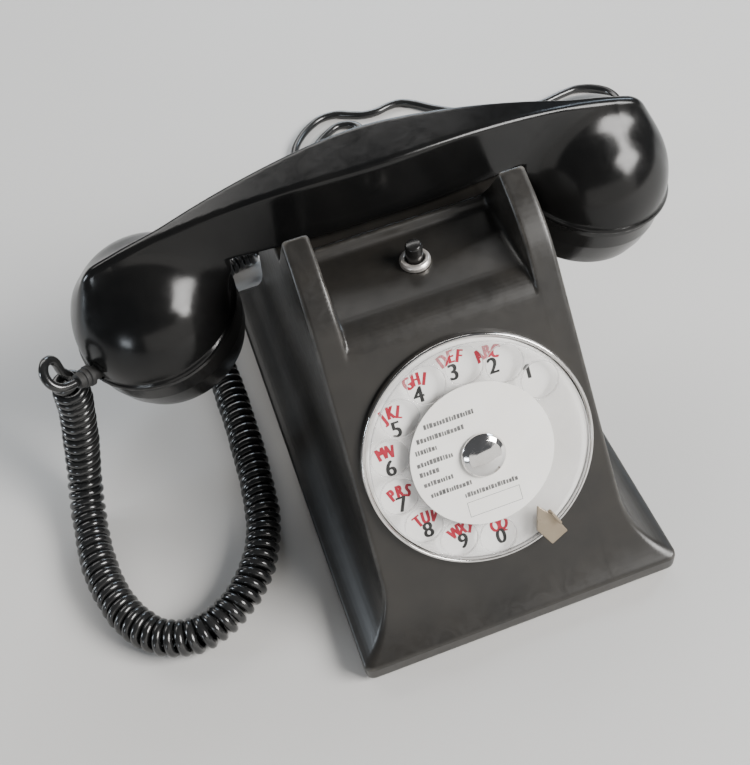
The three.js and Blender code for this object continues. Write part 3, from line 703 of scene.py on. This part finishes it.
def make_line_cord():
    coil = wound_coil()
    over_edge = (21.6, 146.9, coil[-1][2] - 0.7)
    line = smooth_curve(placed([*LINE_ROUTE, *coil, over_edge, *LINE_TAIL_ROUTE]), 1.5)
    line[:, 2] = np.maximum(line[:, 2], LINE_WIRE + 0.05)
    piece = add_mesh("line_cord", *tube_mesh(line, LINE_WIRE, 12), "cord", "case",
                     ("line_cord_run", "line_cord_coil", "line_cord_tail"))
    make_plug()


def make_plug():
    """A flat two-blade plug, its ribbed relief about the cord's end."""
    at = frame_at(placed([PLUG_AT])[0], turn_z(math.radians(PLUG_HEADING)))
    half, length, blade, thick = PLUG_HALF, PLUG_LENGTH, PLUG_BLADE, PLUG_AT[2]
    outline = rounded([(11, -5), (17, -half), (length, -half), (length, half), (17, half), (11, 5)], 3.5)
    pieces = [slab("plug_body", [outline], -thick, thick, at, "plug", "case", 1.6)]
    along = at.copy()
    along[:3, 0], along[:3, 1], along[:3, 2] = -at[:3, 2], at[:3, 1], at[:3, 0]
    relief = [(0, 0)]
    for i in range(5):
        r, x = 2.7 + 0.22 * i, 2.6 * i
        relief += [(r, x), (r + 0.1, x + 1.5), (r - 0.5, x + 1.7), (r - 0.4, x + 2.5)]
    relief += [(3.4, 13), (0, 13)]
    pieces.append(turned("plug_relief", relief, along, "plug", "case", 0.2, 40))
    for y in (-5.5, 5.5):
        tip = rounded([(length - 1, y - 3), (length + blade, y - 3), (length + blade, y + 3),
                       (length - 1, y + 3)], 1)
        pieces.append(slab("plug_blade", [tip], -0.6, 0.6, at, "brass", "case", 0.25))
    return joined("plug", pieces, ["line_plug"])


# ---- housing ----
FRONT, REAR, BOTTOM, SHOULDER, RIM_TOP = -96.0, 96.0, 1.5, 9.0, 10.0
HALF_WIDTH = 59.0
WALL = 3.0
DIAL_Y, DIAL_Z = DIAL_AT[1], DIAL_AT[2]
PLATE_LOW, PLATE_BEND = -45.0, 64.6  # along the slope from the dial's middle
HORN_TIP = (-1.1, 121.7)
HORN_SOFT = 12.0
CRADLE = {"front": 14.0, "rear": 44.0, "floor": 99.7}
REAR_HORN = [(48.0, 104.6), (59.0, 99.4)]
BACK_LOW = (84.0, 24.0)
SIDE_LOW, SIDE_HIGH = (44.2, 31.0), (41.0, 122.5)
DECK = {"half": 32.0, "rear": 8.0, "top": 99.7, "floor": 3.5, "bend": 8.0}
BUTTON_Y = -6.3
DIAL_HOLE = 35.5
DECK_HOLES = ((0.0, BUTTON_Y, 4.5), (24.0, 29.0, 4.0))  # button and plungers: x each way, y, radius
REAR_HOLES = ((-34.0, 7.5, 4.2), (20.0, 7.0, 3.7))  # the cords: x, z, radius


def up_slope(distance, inward=0.0):
    c, s = math.cos(SLOPE), math.sin(SLOPE)
    return DIAL_Y + distance * c + inward * s, DIAL_Z + distance * s - inward * c


def arc(start, end, direction, steps):
    """Points of the arc that leaves start in that direction and ends at end."""
    chord = math.atan2(end[1] - start[1], end[0] - start[0])
    turn = 2 * math.atan2(math.sin(chord - direction), math.cos(chord - direction))
    radius = math.dist(start, end) / (2 * math.sin(turn / 2))
    centre = (start[0] - radius * math.sin(direction), start[1] + radius * math.cos(direction))
    return [(centre[0] + radius * math.sin(direction + turn * i / steps),
             centre[1] - radius * math.cos(direction + turn * i / steps)) for i in range(steps + 1)]


def horn_bend():
    """The soft bend from the dial's slope into the horns' tops."""
    x, y = up_slope(PLATE_BEND)
    along = math.dist((x, y), HORN_TIP)
    end = (x + (HORN_TIP[0] - x) * HORN_SOFT / along, y + (HORN_TIP[1] - y) * HORN_SOFT / along)
    return arc(up_slope(PLATE_BEND - HORN_SOFT), end, SLOPE, 12)


def side_outline():
    front_flare = arc(up_slope(PLATE_LOW), (FRONT + 1.4, RIM_TOP), SLOPE + math.pi, 16)[::-1]
    rear_flare = arc(BACK_LOW, (REAR - 1.4, RIM_TOP), math.radians(-73), 12)
    return [(FRONT, BOTTOM), (FRONT, SHOULDER), *front_flare, *horn_bend(), HORN_TIP,
            (CRADLE["front"], CRADLE["floor"]), (CRADLE["rear"], CRADLE["floor"]), *REAR_HORN,
            *rear_flare, (REAR, SHOULDER), (REAR, BOTTOM)]


def front_outline(bottom=BOTTOM):
    flare = arc(SIDE_LOW, (HALF_WIDTH - 1.2, RIM_TOP), math.radians(-89), 16)[::-1]
    right = [(HALF_WIDTH, bottom), (HALF_WIDTH, SHOULDER), *flare, SIDE_HIGH]
    return right + [(-x, z) for x, z in reversed(right)]


def deck_outline():
    """The housing's side with the recess's floor right across, the sloping front bent softly into it."""
    meeting = (DECK["top"] - DIAL_Z) / math.sin(SLOPE)
    start = up_slope(meeting - DECK["bend"])
    end = (up_slope(meeting)[0] + DECK["bend"], DECK["top"])
    full = side_outline()
    low = full.index(horn_bend()[0])
    high = full.index((CRADLE["rear"], CRADLE["floor"]))
    return [*full[:low], *arc(start, end, SLOPE, 10), *full[high:]]


SIDE_OUTLINE = side_outline()
DECK_OUTLINE = deck_outline()
FRONT_OUTLINE = front_outline()
DEEP = -20.0  # the hollow is open below, so its outlines go on down to here
HOLLOW_SIDE = [*SIDE_OUTLINE[1:-1], (REAR, DEEP), (FRONT, DEEP)]
HOLLOW_FRONT = front_outline(DEEP)
CORNER = 4.0


def housing_field(x, y, z):
    """The housing about its own middle: sloping front, flared foot, horns, recess and hollow inside."""
    full, low = outline_distance(SIDE_OUTLINE, y, z), outline_distance(DECK_OUTLINE, y, z)
    rise = np.clip(np.abs(low - full) / 4, 0, 1)  # no fillet where the walls have no height yet
    walls = smooth_min(smooth_max(full, DECK["half"] - np.abs(x), 1.6),
                       smooth_max(full, DECK["rear"] - y, 7.0), 1.5)
    side = smooth_min(walls, low, 0.05 + 1.8 * rise)
    front = outline_distance(FRONT_OUTLINE, x, z)
    ax, ay = np.abs(x) - (HALF_WIDTH - CORNER), np.abs(y) - (REAR - CORNER)
    plan = np.hypot(np.maximum(ax, 0), np.maximum(ay, 0)) + np.minimum(np.maximum(ax, ay), 0) - CORNER
    solid = smooth_max(smooth_max(side, front, 1.7), plan, 1.2)
    hollow = smooth_max(outline_distance(HOLLOW_SIDE, y, z), outline_distance(HOLLOW_FRONT, x, z), 3.0)
    hollow = np.maximum(np.maximum(hollow, plan) + WALL, z - (DECK["top"] - DECK["floor"]))
    solid = smooth_max(solid, -hollow, 0.8)
    up = (y - DIAL_Y) * math.cos(SLOPE) + (z - DIAL_Z) * math.sin(SLOPE)
    out = -(y - DIAL_Y) * math.sin(SLOPE) + (z - DIAL_Z) * math.cos(SLOPE)
    holes = [np.maximum(np.hypot(x, up) - DIAL_HOLE, np.abs(out) - 12)]
    for at_x, at_y, radius in DECK_HOLES:
        holes.append(np.maximum(np.hypot(np.abs(x) - at_x, y - at_y) - radius, np.abs(z - 98) - 8))
    for at_x, at_z, radius in REAR_HOLES:
        holes.append(np.maximum(np.hypot(x - at_x, z - at_z) - radius, np.abs(y - REAR) - 8))
    for hole in holes:
        solid = smooth_max(solid, -hole, 0.7)
    return solid


def make_housing():
    cell = 0.95
    low, high = (-61.1, -98.1, 0.1), (61, 98, 124)
    vertices, faces, normals = field_mesh(housing_field, low, high, cell)
    add_mesh("housing", placed(vertices), faces, "bakelite", "case", ["body_shell"], normals=normals)


# ---- handset ----
HANDSET_Y, HANDSET_PIVOT = 26.7, 100.0
HANDSET_LEAN = math.radians(6)
HANDLE = {"top": 128.0, "drop": 19.5, "half": 101.0, "flat": 9.9, "point": 0.5, "round": 12.0, "taper": 84.0,
          "side": 12.0, "depth": 26.0, "under": 101.6, "arch": 54.0}
BELL = {"x": 83.9, "z": 77.5, "radius": 29.6, "height": 30.0, "tilt": math.radians(10), "wall": 2.6}


def handset_matrix():
    c, s = math.cos(HANDSET_LEAN), math.sin(HANDSET_LEAN)
    return frame_at((0, HANDSET_Y + s * HANDSET_PIVOT, HANDSET_PIVOT - c * HANDSET_PIVOT),
                    [[1, 0, 0], [0, c, -s], [0, s, c]])


def bell_matrix(side):
    """A bell's own frame in the handset's: its lip at height 0 and its dome towards +Z."""
    return frame_at((side * BELL["x"], 0, BELL["z"]), turn_y(side * BELL["tilt"]))


def gland_matrix():
    """The cord's gland, pointing out of the left bell's dome."""
    spin, tilt = turn_z(math.radians(212)), turn_y(math.radians(60))
    return bell_matrix(-1) @ frame_at(spin @ np.array([BELL["radius"] - 0.6, 0, 4.5]), spin @ tilt)


HANDSET_AT = handset_matrix()
GLAND_AT = gland_matrix()


def bell_field(x, y, z, side):
    at = bell_matrix(side)
    dx, dz = x - at[0, 3], z - at[2, 3]
    rho = np.hypot(at[0, 0] * dx + at[2, 0] * dz, y)
    h = at[0, 2] * dx + at[2, 2] * dz
    dome = (np.hypot(rho / BELL["radius"], np.maximum(h, 0) / BELL["height"]) - 1) * BELL["radius"]
    lip = np.hypot(rho - (BELL["radius"] - 0.3), h - 1.2) - 1.3
    inner_radius, inner_height = BELL["radius"] - BELL["wall"], BELL["height"] - BELL["wall"]
    inner = (np.hypot(rho / inner_radius, np.maximum(h, 0) / inner_height) - 1) * inner_radius
    return dome, lip, inner, h


def handset_field(x, y, z):
    """The handset in its own frame: a faceted handle bent over two domed bells."""
    share = np.minimum((x / HANDLE["half"]) ** 2, 1.2)
    depth = z - (HANDLE["top"] - HANDLE["drop"] * share)  # above the bent top
    flat = HANDLE["flat"] * (1 - (np.hypot(x, HANDLE["round"]) - HANDLE["round"]) / HANDLE["taper"])
    flat = np.maximum(flat, HANDLE["point"])
    width, fall = HANDLE["side"] - HANDLE["flat"], HANDLE["depth"] - 2
    facet = ((np.abs(y) - flat) * fall + depth * width) / np.hypot(width, fall)
    handle = smooth_max(facet, depth, 2.2)
    handle = smooth_max(handle, np.abs(y) - HANDLE["side"], 2.0)
    handle = smooth_max(handle, -(depth + HANDLE["depth"]), 5.0)
    handle = smooth_max(handle, np.abs(x) - HANDLE["half"], 6.0)
    solid = smooth_max(handle, np.minimum(HANDLE["arch"] - np.abs(x), HANDLE["under"] - z), 2.0)
    hollows = []
    for side in (-1, 1):
        dome, lip, inner, h = bell_field(x, y, z, side)
        solid = smooth_min(solid, dome, 13.0)
        solid = smooth_min(solid, lip, 0.8)
        solid = np.where(side * x > 0, smooth_max(solid, -h, 0.8), solid)
        hollows.append(inner)
    for inner in hollows:
        solid = smooth_max(solid, -inner, 0.5)
    gx, gy, gz = (a * x + b * y + c * z + d for a, b, c, d in np.linalg.inv(GLAND_AT)[:3])
    return smooth_max(solid, -np.maximum(np.hypot(gx, gy) - 2.9, np.abs(gz) - 10), 0.4)


def make_handset():
    cell = 0.8
    low, high = (-117.3, -32.3, 70.2), (117, 32, 130)
    vertices, faces, normals = field_mesh(handset_field, low, high, cell)
    add_mesh("handset", moved(vertices, HANDSET_AT), faces, "handset_gloss", "handset", ["handset_shell"],
             normals=normals @ HANDSET_AT[:3, :3].T)
    make_cap("mouthpiece", HANDSET_AT @ bell_matrix(-1), 1.3, ((0, 1), (6, 6), (11.5, 12)))
    make_cap("earpiece", HANDSET_AT @ bell_matrix(1), 1.9, ((0, 1), (7, 6)))
    ribs = [(0, -1.5), (2.6, -1.5), (2.6, 3.0), (3.8, 3.0), (3.8, 4.4), (3.1, 4.7), (3.1, 5.2), (3.5, 5.4),
            (3.4, 6.2), (2.8, 6.4), (2.8, 6.9), (3.0, 7.1), (2.7, 8.5), (0, 8.5)]
    turned("handset_relief", ribs, HANDSET_AT @ GLAND_AT, "black_rubber", "handset", 0.15, 48,
           ["handset_gland"])


CAP = {"radius": 29.3, "height": 21.5, "face": 18.0}


def make_cap(name, at, hole, rings):
    """A screwed-on cap whose face has rings of round holes, each ring (radius, how many)."""
    r, h = CAP["radius"], CAP["height"]
    profile = [(CAP["face"], -h + 1.6), (CAP["face"], -h + 0.2), (24.0, -h), (26.0, -h + 2.2), (27.9, -h + 7),
               (r, -8), (r, -2.2), (r - 0.6, -0.5), (26.6, -0.4), (26.6, -5.2), (25.2, -5.2),
               (24.4, -h + 3.4), (CAP["face"], -h + 3.0)]
    shell = turned(f"{name}_rim", profile, at, "black_trim", "handset", 0.8, 128)
    holes = [circle(hole, *at_angle(radius, 360 * k / count), 20)
             for radius, count in rings for k in range(count)]
    face = slab(f"{name}_face", [circle(CAP["face"] + 0.2, points=96), *holes], -h + 0.5, -h + 2.2, at,
                "black_trim", "handset", 0.3)
    joined(f"{name}_cover", [shell, face], [f"{name}_cap"])


# ---- dial ----
DIAL = {"bezel": 40.0, "plate": 38.2, "wheel": 37.4, "pitch_radius": 30.5, "finger": 6.3, "card": 24.5,
        "figure_height": 1.53}
HOLE_ANGLES = [35 + 360 / 14 * i for i in range(10)]
FIGURE_ANGLES = [42.3 + 25.2 * i for i in range(10)]
LETTERS = ["", "ABC", "DEF", "GHI", "JKL", "MN", "PRS", "TUV", "WXY", "OQ"]
NUDGE = {"ABC": (-1.2, 0), "JKL": (-0.7, 0.8), "MN": (-0.6, 0.6), "PRS": (0, -0.6), "TUV": (0, -0.6),
         "WXY": (0.4, -0.6), "OQ": (0, -0.8)}
DIGIT_DROP = -2.2  # of a digit that has letters above it
FAN = {"x": 0.3, "y": -3.1, "radius": 6.2, "step": 26, "lean": 0.8}  # the letters above a digit
STOP_ANGLE = -65


def dial_matrix(turn=0.0):
    """The dial's own frame, turned by so many degrees: its face towards +Z."""
    axes = np.stack([np.array([1.0, 0, 0]), DIAL_UP, DIAL_OUT], 1)
    return frame_at(DIAL_AT, axes @ turn_z(math.radians(turn)))


DIAL_FRAME = dial_matrix()
ONE = [(-0.12, 2.45), (0.5, 2.45), (0.5, -2.45), (-0.3, -2.45), (-0.3, 1.3), (-1.4, 0.75), (-1.4, 1.5)]


def character(name, text, size):
    """The curve of a character, with a plain stem and flag for the figure one."""
    if text == "1":
        curve = flat_curve(name, [ONE])
    else:
        curve = bpy.data.curves.new(name, "FONT")
        curve.body = text
        curve.size = size * MM
        curve.align_x = "CENTER"
        curve.align_y = "CENTER"
    curve.extrude = 0.03 * MM
    return curve


def printed(name, words, look, size, narrow, bold):
    """Flat printed characters, each (text, x, y, turn in degrees) on the number plate.

    Each is printed three times, side by side, which makes its strokes bold."""
    copies = []
    for text, x, y, turn in words:
        for k in (-1, 0, 1):
            mesh = curve_mesh(name, character(name, text, size), look)
            place = Matrix.Translation(Vector((x, y, DIAL["figure_height"] + 0.004 * k)) * MM)
            turned_by = Matrix.Rotation(math.radians(turn), 4, "Z")
            thicker = Matrix.Translation((k * bold * MM, 0, 0)) @ Matrix.Diagonal((narrow, 1, 1, 1))
            mesh.transform(place @ turned_by @ thicker)
            copies.append(linked(name, mesh))
    whole = joined(name, copies)
    whole.data.transform(in_metres(DIAL_FRAME))
    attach(whole, "case")


def make_dial():
    at = DIAL_FRAME
    bezel, plate = DIAL["bezel"], DIAL["plate"]
    turned("bezel", [(38.5, 0.1), (bezel, 0.1), (bezel, 1.7), (39.6, 2.8), (38.9, 2.9), (38.5, 2.4)], at,
           "bright_plate", "case", 0.35, 160, ["dial_bezel"])
    turned("figure_plate", [(5.2, 0.3), (plate, 0.3), (plate, 1.3), (37.6, 1.5), (5.2, 1.5)], at,
           "enamel", "case", 0.15, 128, ["number_plate"])
    holes = [circle(DIAL["finger"], *at_angle(DIAL["pitch_radius"], a), 56) for a in HOLE_ANGLES]
    slab("clear_wheel", [circle(DIAL["wheel"], points=160), *holes, circle(4.6, points=40)], 3.2, 5.2, at,
         "clear", "dial_wheel", 0.55, ["finger_wheel"])
    make_figures()
    make_card()
    dome = [(0, 6.3), (7.6, 6.3), (7.6, 6.9), (7.0, 7.7), (5.6, 8.6), (3.4, 9.2), (1.5, 9.4), (0, 9.45)]
    turned("hub_cap", dome, at, "bright_plate", "dial_wheel", 0.8, 96, ["centre_cap"])
    make_finger_stop()


def make_figures():
    """Each finger hole's digit, with its group of letters fanned out above it."""
    digits, letters = [], []
    for i, angle in enumerate(FIGURE_ANGLES):
        x, y = at_angle(DIAL["pitch_radius"], angle)
        word = LETTERS[i]
        digits.append((str((i + 1) % 10), x, y + (DIGIT_DROP if word else 0.0), 0))
        aside, above = NUDGE.get(word, (0, 0))
        for k, letter in enumerate(word):
            turn = -FAN["step"] * (k - (len(word) - 1) / 2)
            dx, dy = at_angle(FAN["radius"], 90 + turn)
            letters.append((letter, x + FAN["x"] + aside + dx, y + FAN["y"] + above + dy,
                            turn * FAN["lean"]))
    printed("digits", digits, "black_ink", size=7.8, narrow=0.90, bold=0.25)
    printed("letters", letters, "red_ink", size=6.3, narrow=0.62, bold=0.34)


CARD_ROWS = [(-16.5, 1.2, 15.3), (-20, -3.8, 11.3), (-21.4, -14.0, 7.6), (-22.0, -9.2, 3.4),
             (-22.0, -15.5, 0.0), (-21.6, -11.0, -3.8), (-20.3, -6.0, -8.0), (-9.4, 9.2, -12.0)]
CARD_BOX = (-9.5, 9.1, -20.0, -14.6)
CARD_PRINT = (5.79, 5.84)  # the ink's bottom and top


def make_card():
    """The printed card: lines of illegible small print as broken bars, and an empty label box."""
    turned("card", [(4.6, 5.5), (DIAL["card"], 5.5), (DIAL["card"], 5.8), (4.6, 5.8)], DIAL_FRAME,
           "card", "dial_wheel", 0.05, 128, ["dial_card"])
    random = np.random.default_rng(7)
    bars = []
    for left, right, y in CARD_ROWS:
        x = left
        while x < right - 0.4:
            width = random.uniform(0.45, 1.1)
            tall = random.choice([0.74, 0.86, 0.92])
            bars.append((x, x + width, y - 0.7, y - 0.7 + tall * 1.8))
            x += width + random.uniform(0.2, 0.34)
    left, right, low, high = CARD_BOX
    line = 0.14
    bars += [(left, right, low, low + line), (left, right, high - line, high),
             (left, left + line, low, high), (right - line, right, low, high)]
    vertices, faces = [], []
    for x0, x1, y0, y1 in bars:
        first = len(vertices)
        for z in CARD_PRINT:
            vertices += [(x0, y0, z), (x1, y0, z), (x1, y1, z), (x0, y1, z)]
        faces += [tuple(first + k for k in f) for f in
                  ((3, 2, 1, 0), (4, 5, 6, 7), (0, 1, 5, 4), (1, 2, 6, 5), (2, 3, 7, 6), (3, 0, 4, 7))]
    ink = add_mesh("card_print", moved(np.array(vertices), DIAL_FRAME), faces, "grey_ink", "dial_wheel")
    ink.data.shade_flat()


def make_finger_stop():
    """A bent plate with a pointed end over the wheel, a leg outside the bezel and a lip for the finger."""
    at = dial_matrix(STOP_ANGLE)
    blade = [(27.1, 1.7), (34, -3.9), (41.8, -3.2), (41.8, 3.7), (37, 3.7), (37, 4.2), (31.5, 4.2),
             (31.5, 2.9)]
    leg = [(40.3, -3.2), (41.8, -3.2), (41.8, 3.7), (40.3, 3.7)]
    lip = [(31.5, 3.2), (37, 3.2), (37, 4.2), (31.5, 4.2)]
    pieces = [slab("stop_part", [rounded(outline, 0.45)], low, high, at, "stop_metal", "case", 0.28)
              for outline, low, high in ((blade, 5.7, 6.9), (leg, 0.4, 6.7), (lip, 6.1, 8.9))]
    joined("stop", pieces, ["finger_stop"])


# ---- push button, springs, feet and glands ----


def make_button():
    at = frame_at(placed([(0, BUTTON_Y, 0)])[0])
    ring = [(3.2, 92.5), (4.1, 92.5), (4.1, 99.8), (5.2, 99.8), (5.2, 101.3), (4.6, 102.1), (3.6, 102.1),
            (3.2, 101.6)]
    turned("button_ring", ring, at, "satin_plate", "case", 0.35, 96, ["button_collar"], "bright_plate")
    pin = [(0, 86), (4.4, 86), (4.4, 87.6), (2.9, 87.6), (2.9, 107.4), (2.4, 108.1), (0, 108.3)]
    turned("button", pin, at, "black_trim", "button", 0.35, 64, ["push_button"])


def make_spring(node, turns, wire):
    """A wound spring between the case and a moving body, in the room of its CAD ring."""
    low, high = box_mm(node)
    middle = (low + high) / 2
    radius = (high[0] - low[0]) / 2 - wire
    angle = np.linspace(0, 2 * math.pi * turns, 24 * turns + 1)
    rise = np.linspace(low[2] + wire, high[2] - wire, len(angle))
    line = np.stack([middle[0] + radius * np.cos(angle), middle[1] + radius * np.sin(angle), rise], 1)
    spring = add_mesh(f"{node}_wound", *tube_mesh(line, wire, 8), "steel", nodes=[node])
    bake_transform(spring)


def make_feet_and_glands():
    for end in ("front", "rear"):
        for side in ("left", "right"):
            low, high = box_mm(f"foot_{end}_{side}")
            turned(f"pad_{end}_{side}", [(0, 0), (5.2, 0), (5.6, 0.4), (6.2, 1.5), (0, 1.5)],
                   frame_at([*(low[:2] + high[:2]) / 2, 0]), "black_rubber", "case", 0.2, 48,
                   [f"foot_{end}_{side}"])
    for node, thick, reach, hole in (("handset_cord_gland", 5.4, 10.0, 3.9),
                                     ("line_cord_gland", 4.6, 9.6, 3.4)):
        low, high = box_mm(node)
        x, _, z = (low + high) / 2
        at = frame_at((x, REAR, z), [[1, 0, 0], [0, 0, 1], [0, -1, 0]])
        profile = [(0, -6), (hole, -6), (hole, 0.2), (thick, 0.2), (thick, 2)]
        for k in range(4):
            h = 2 + (reach - 2) * k / 4
            r = thick * (1 - 0.28 * k / 4)
            profile += [(r - 0.5, h + 0.2), (r - 0.5, h + 0.6), (r - 0.1, h + 0.8), (r - 0.2, h + 1.7)]
        profile += [(thick * 0.68, reach), (0, reach)]
        turned(f"{node}_ribbed", profile, at, "black_rubber", "case", 0.12, 48, [node])


# ---- CAD nodes that stay ----


def finish_cad_nodes():
    for name, node in frame["nodes"].items():
        node.data.materials.clear()
        node.data.materials.append(MATERIALS[SLOT_OF[name]])


# ---- studio ----
# name, place and aim in metres, width, height, watts, tint
LIGHTS = [
    ("key", (1.15, -0.80, 1.05), (0, -0.04, 0.06), 0.9, 0.7, 58, (1.0, 0.985, 0.96)),
    ("front_window", (0.30, -1.60, 0.40), (0, 0, 0.06), 2.4, 0.8, 7, (1.0, 0.97, 0.92)),
    ("back_window", (0.40, 1.50, 0.55), (0, 0, 0.1), 0.6, 0.3, 6, (0.72, 0.86, 1.0)),
    ("overhead", (-0.20, 1.30, 1.15), (0, 0, 0.1), 2.1, 0.6, 19, (1.0, 0.985, 0.96)),
    ("left_back", (-1.4, 0.3, 0.35), (0, 0, 0.06), 0.2, 0.4, 6, (0.82, 0.91, 1.0)),
    ("left_front", (-1.1, -0.9, 0.3), (0, 0, 0.06), 0.3, 0.2, 2.5, (0.86, 0.93, 1.0)),
    ("right_back", (1.2, 0.6, 0.8), (0, 0, 0.06), 0.3, 0.5, 6, (0.72, 0.86, 1.0)),
]


def area_light(name, at, target, width, height, power, tint):
    data = bpy.data.lights.new(name, "AREA")
    data.shape = "RECTANGLE"
    data.size, data.size_y = width, height
    data.energy = power
    data.color = tint
    light = linked(name, data)
    aim = (Vector(target) - Vector(at)).to_track_quat("-Z", "Y")
    light.matrix_world = Matrix.Translation(Vector(at)) @ aim.to_matrix().to_4x4()


def make_studio():
    floor = Nodes("floor")
    tone = floor.mixed(floor.noise(3.0, 4.0), (0.60, 0.59, 0.575, 1), (0.66, 0.65, 0.635, 1))
    floor.put(floor.shader.inputs["Base Color"], tone)
    floor.shader.inputs["Roughness"].default_value = 0.6
    floor.bump(floor.noise(700.0, 3.0), 0.12, 0.0001)
    MATERIALS["floor"] = floor.material
    corners = np.array([(-3, -3, 0), (3, -3, 0), (3, 3, 0), (-3, 3, 0)])
    add_mesh("ground", corners / MM, [(0, 1, 2, 3)], "floor")
    world = bpy.data.worlds.new("studio")
    bpy.context.scene.world = world
    world.use_nodes = True
    sky = world.node_tree.nodes["Background"]
    sky.inputs["Color"].default_value = (0.78, 0.80, 0.84, 1)
    sky.inputs["Strength"].default_value = 0.13
    for light in LIGHTS:
        area_light(*light)


make_camera()
make_curly_cord()
make_line_cord()
make_housing()
make_handset()
make_dial()
make_button()
make_spring("button_spring", 6, 0.35)
make_spring("plunger_spring", 8, 0.45)
make_feet_and_glands()
finish_cad_nodes()
make_studio()
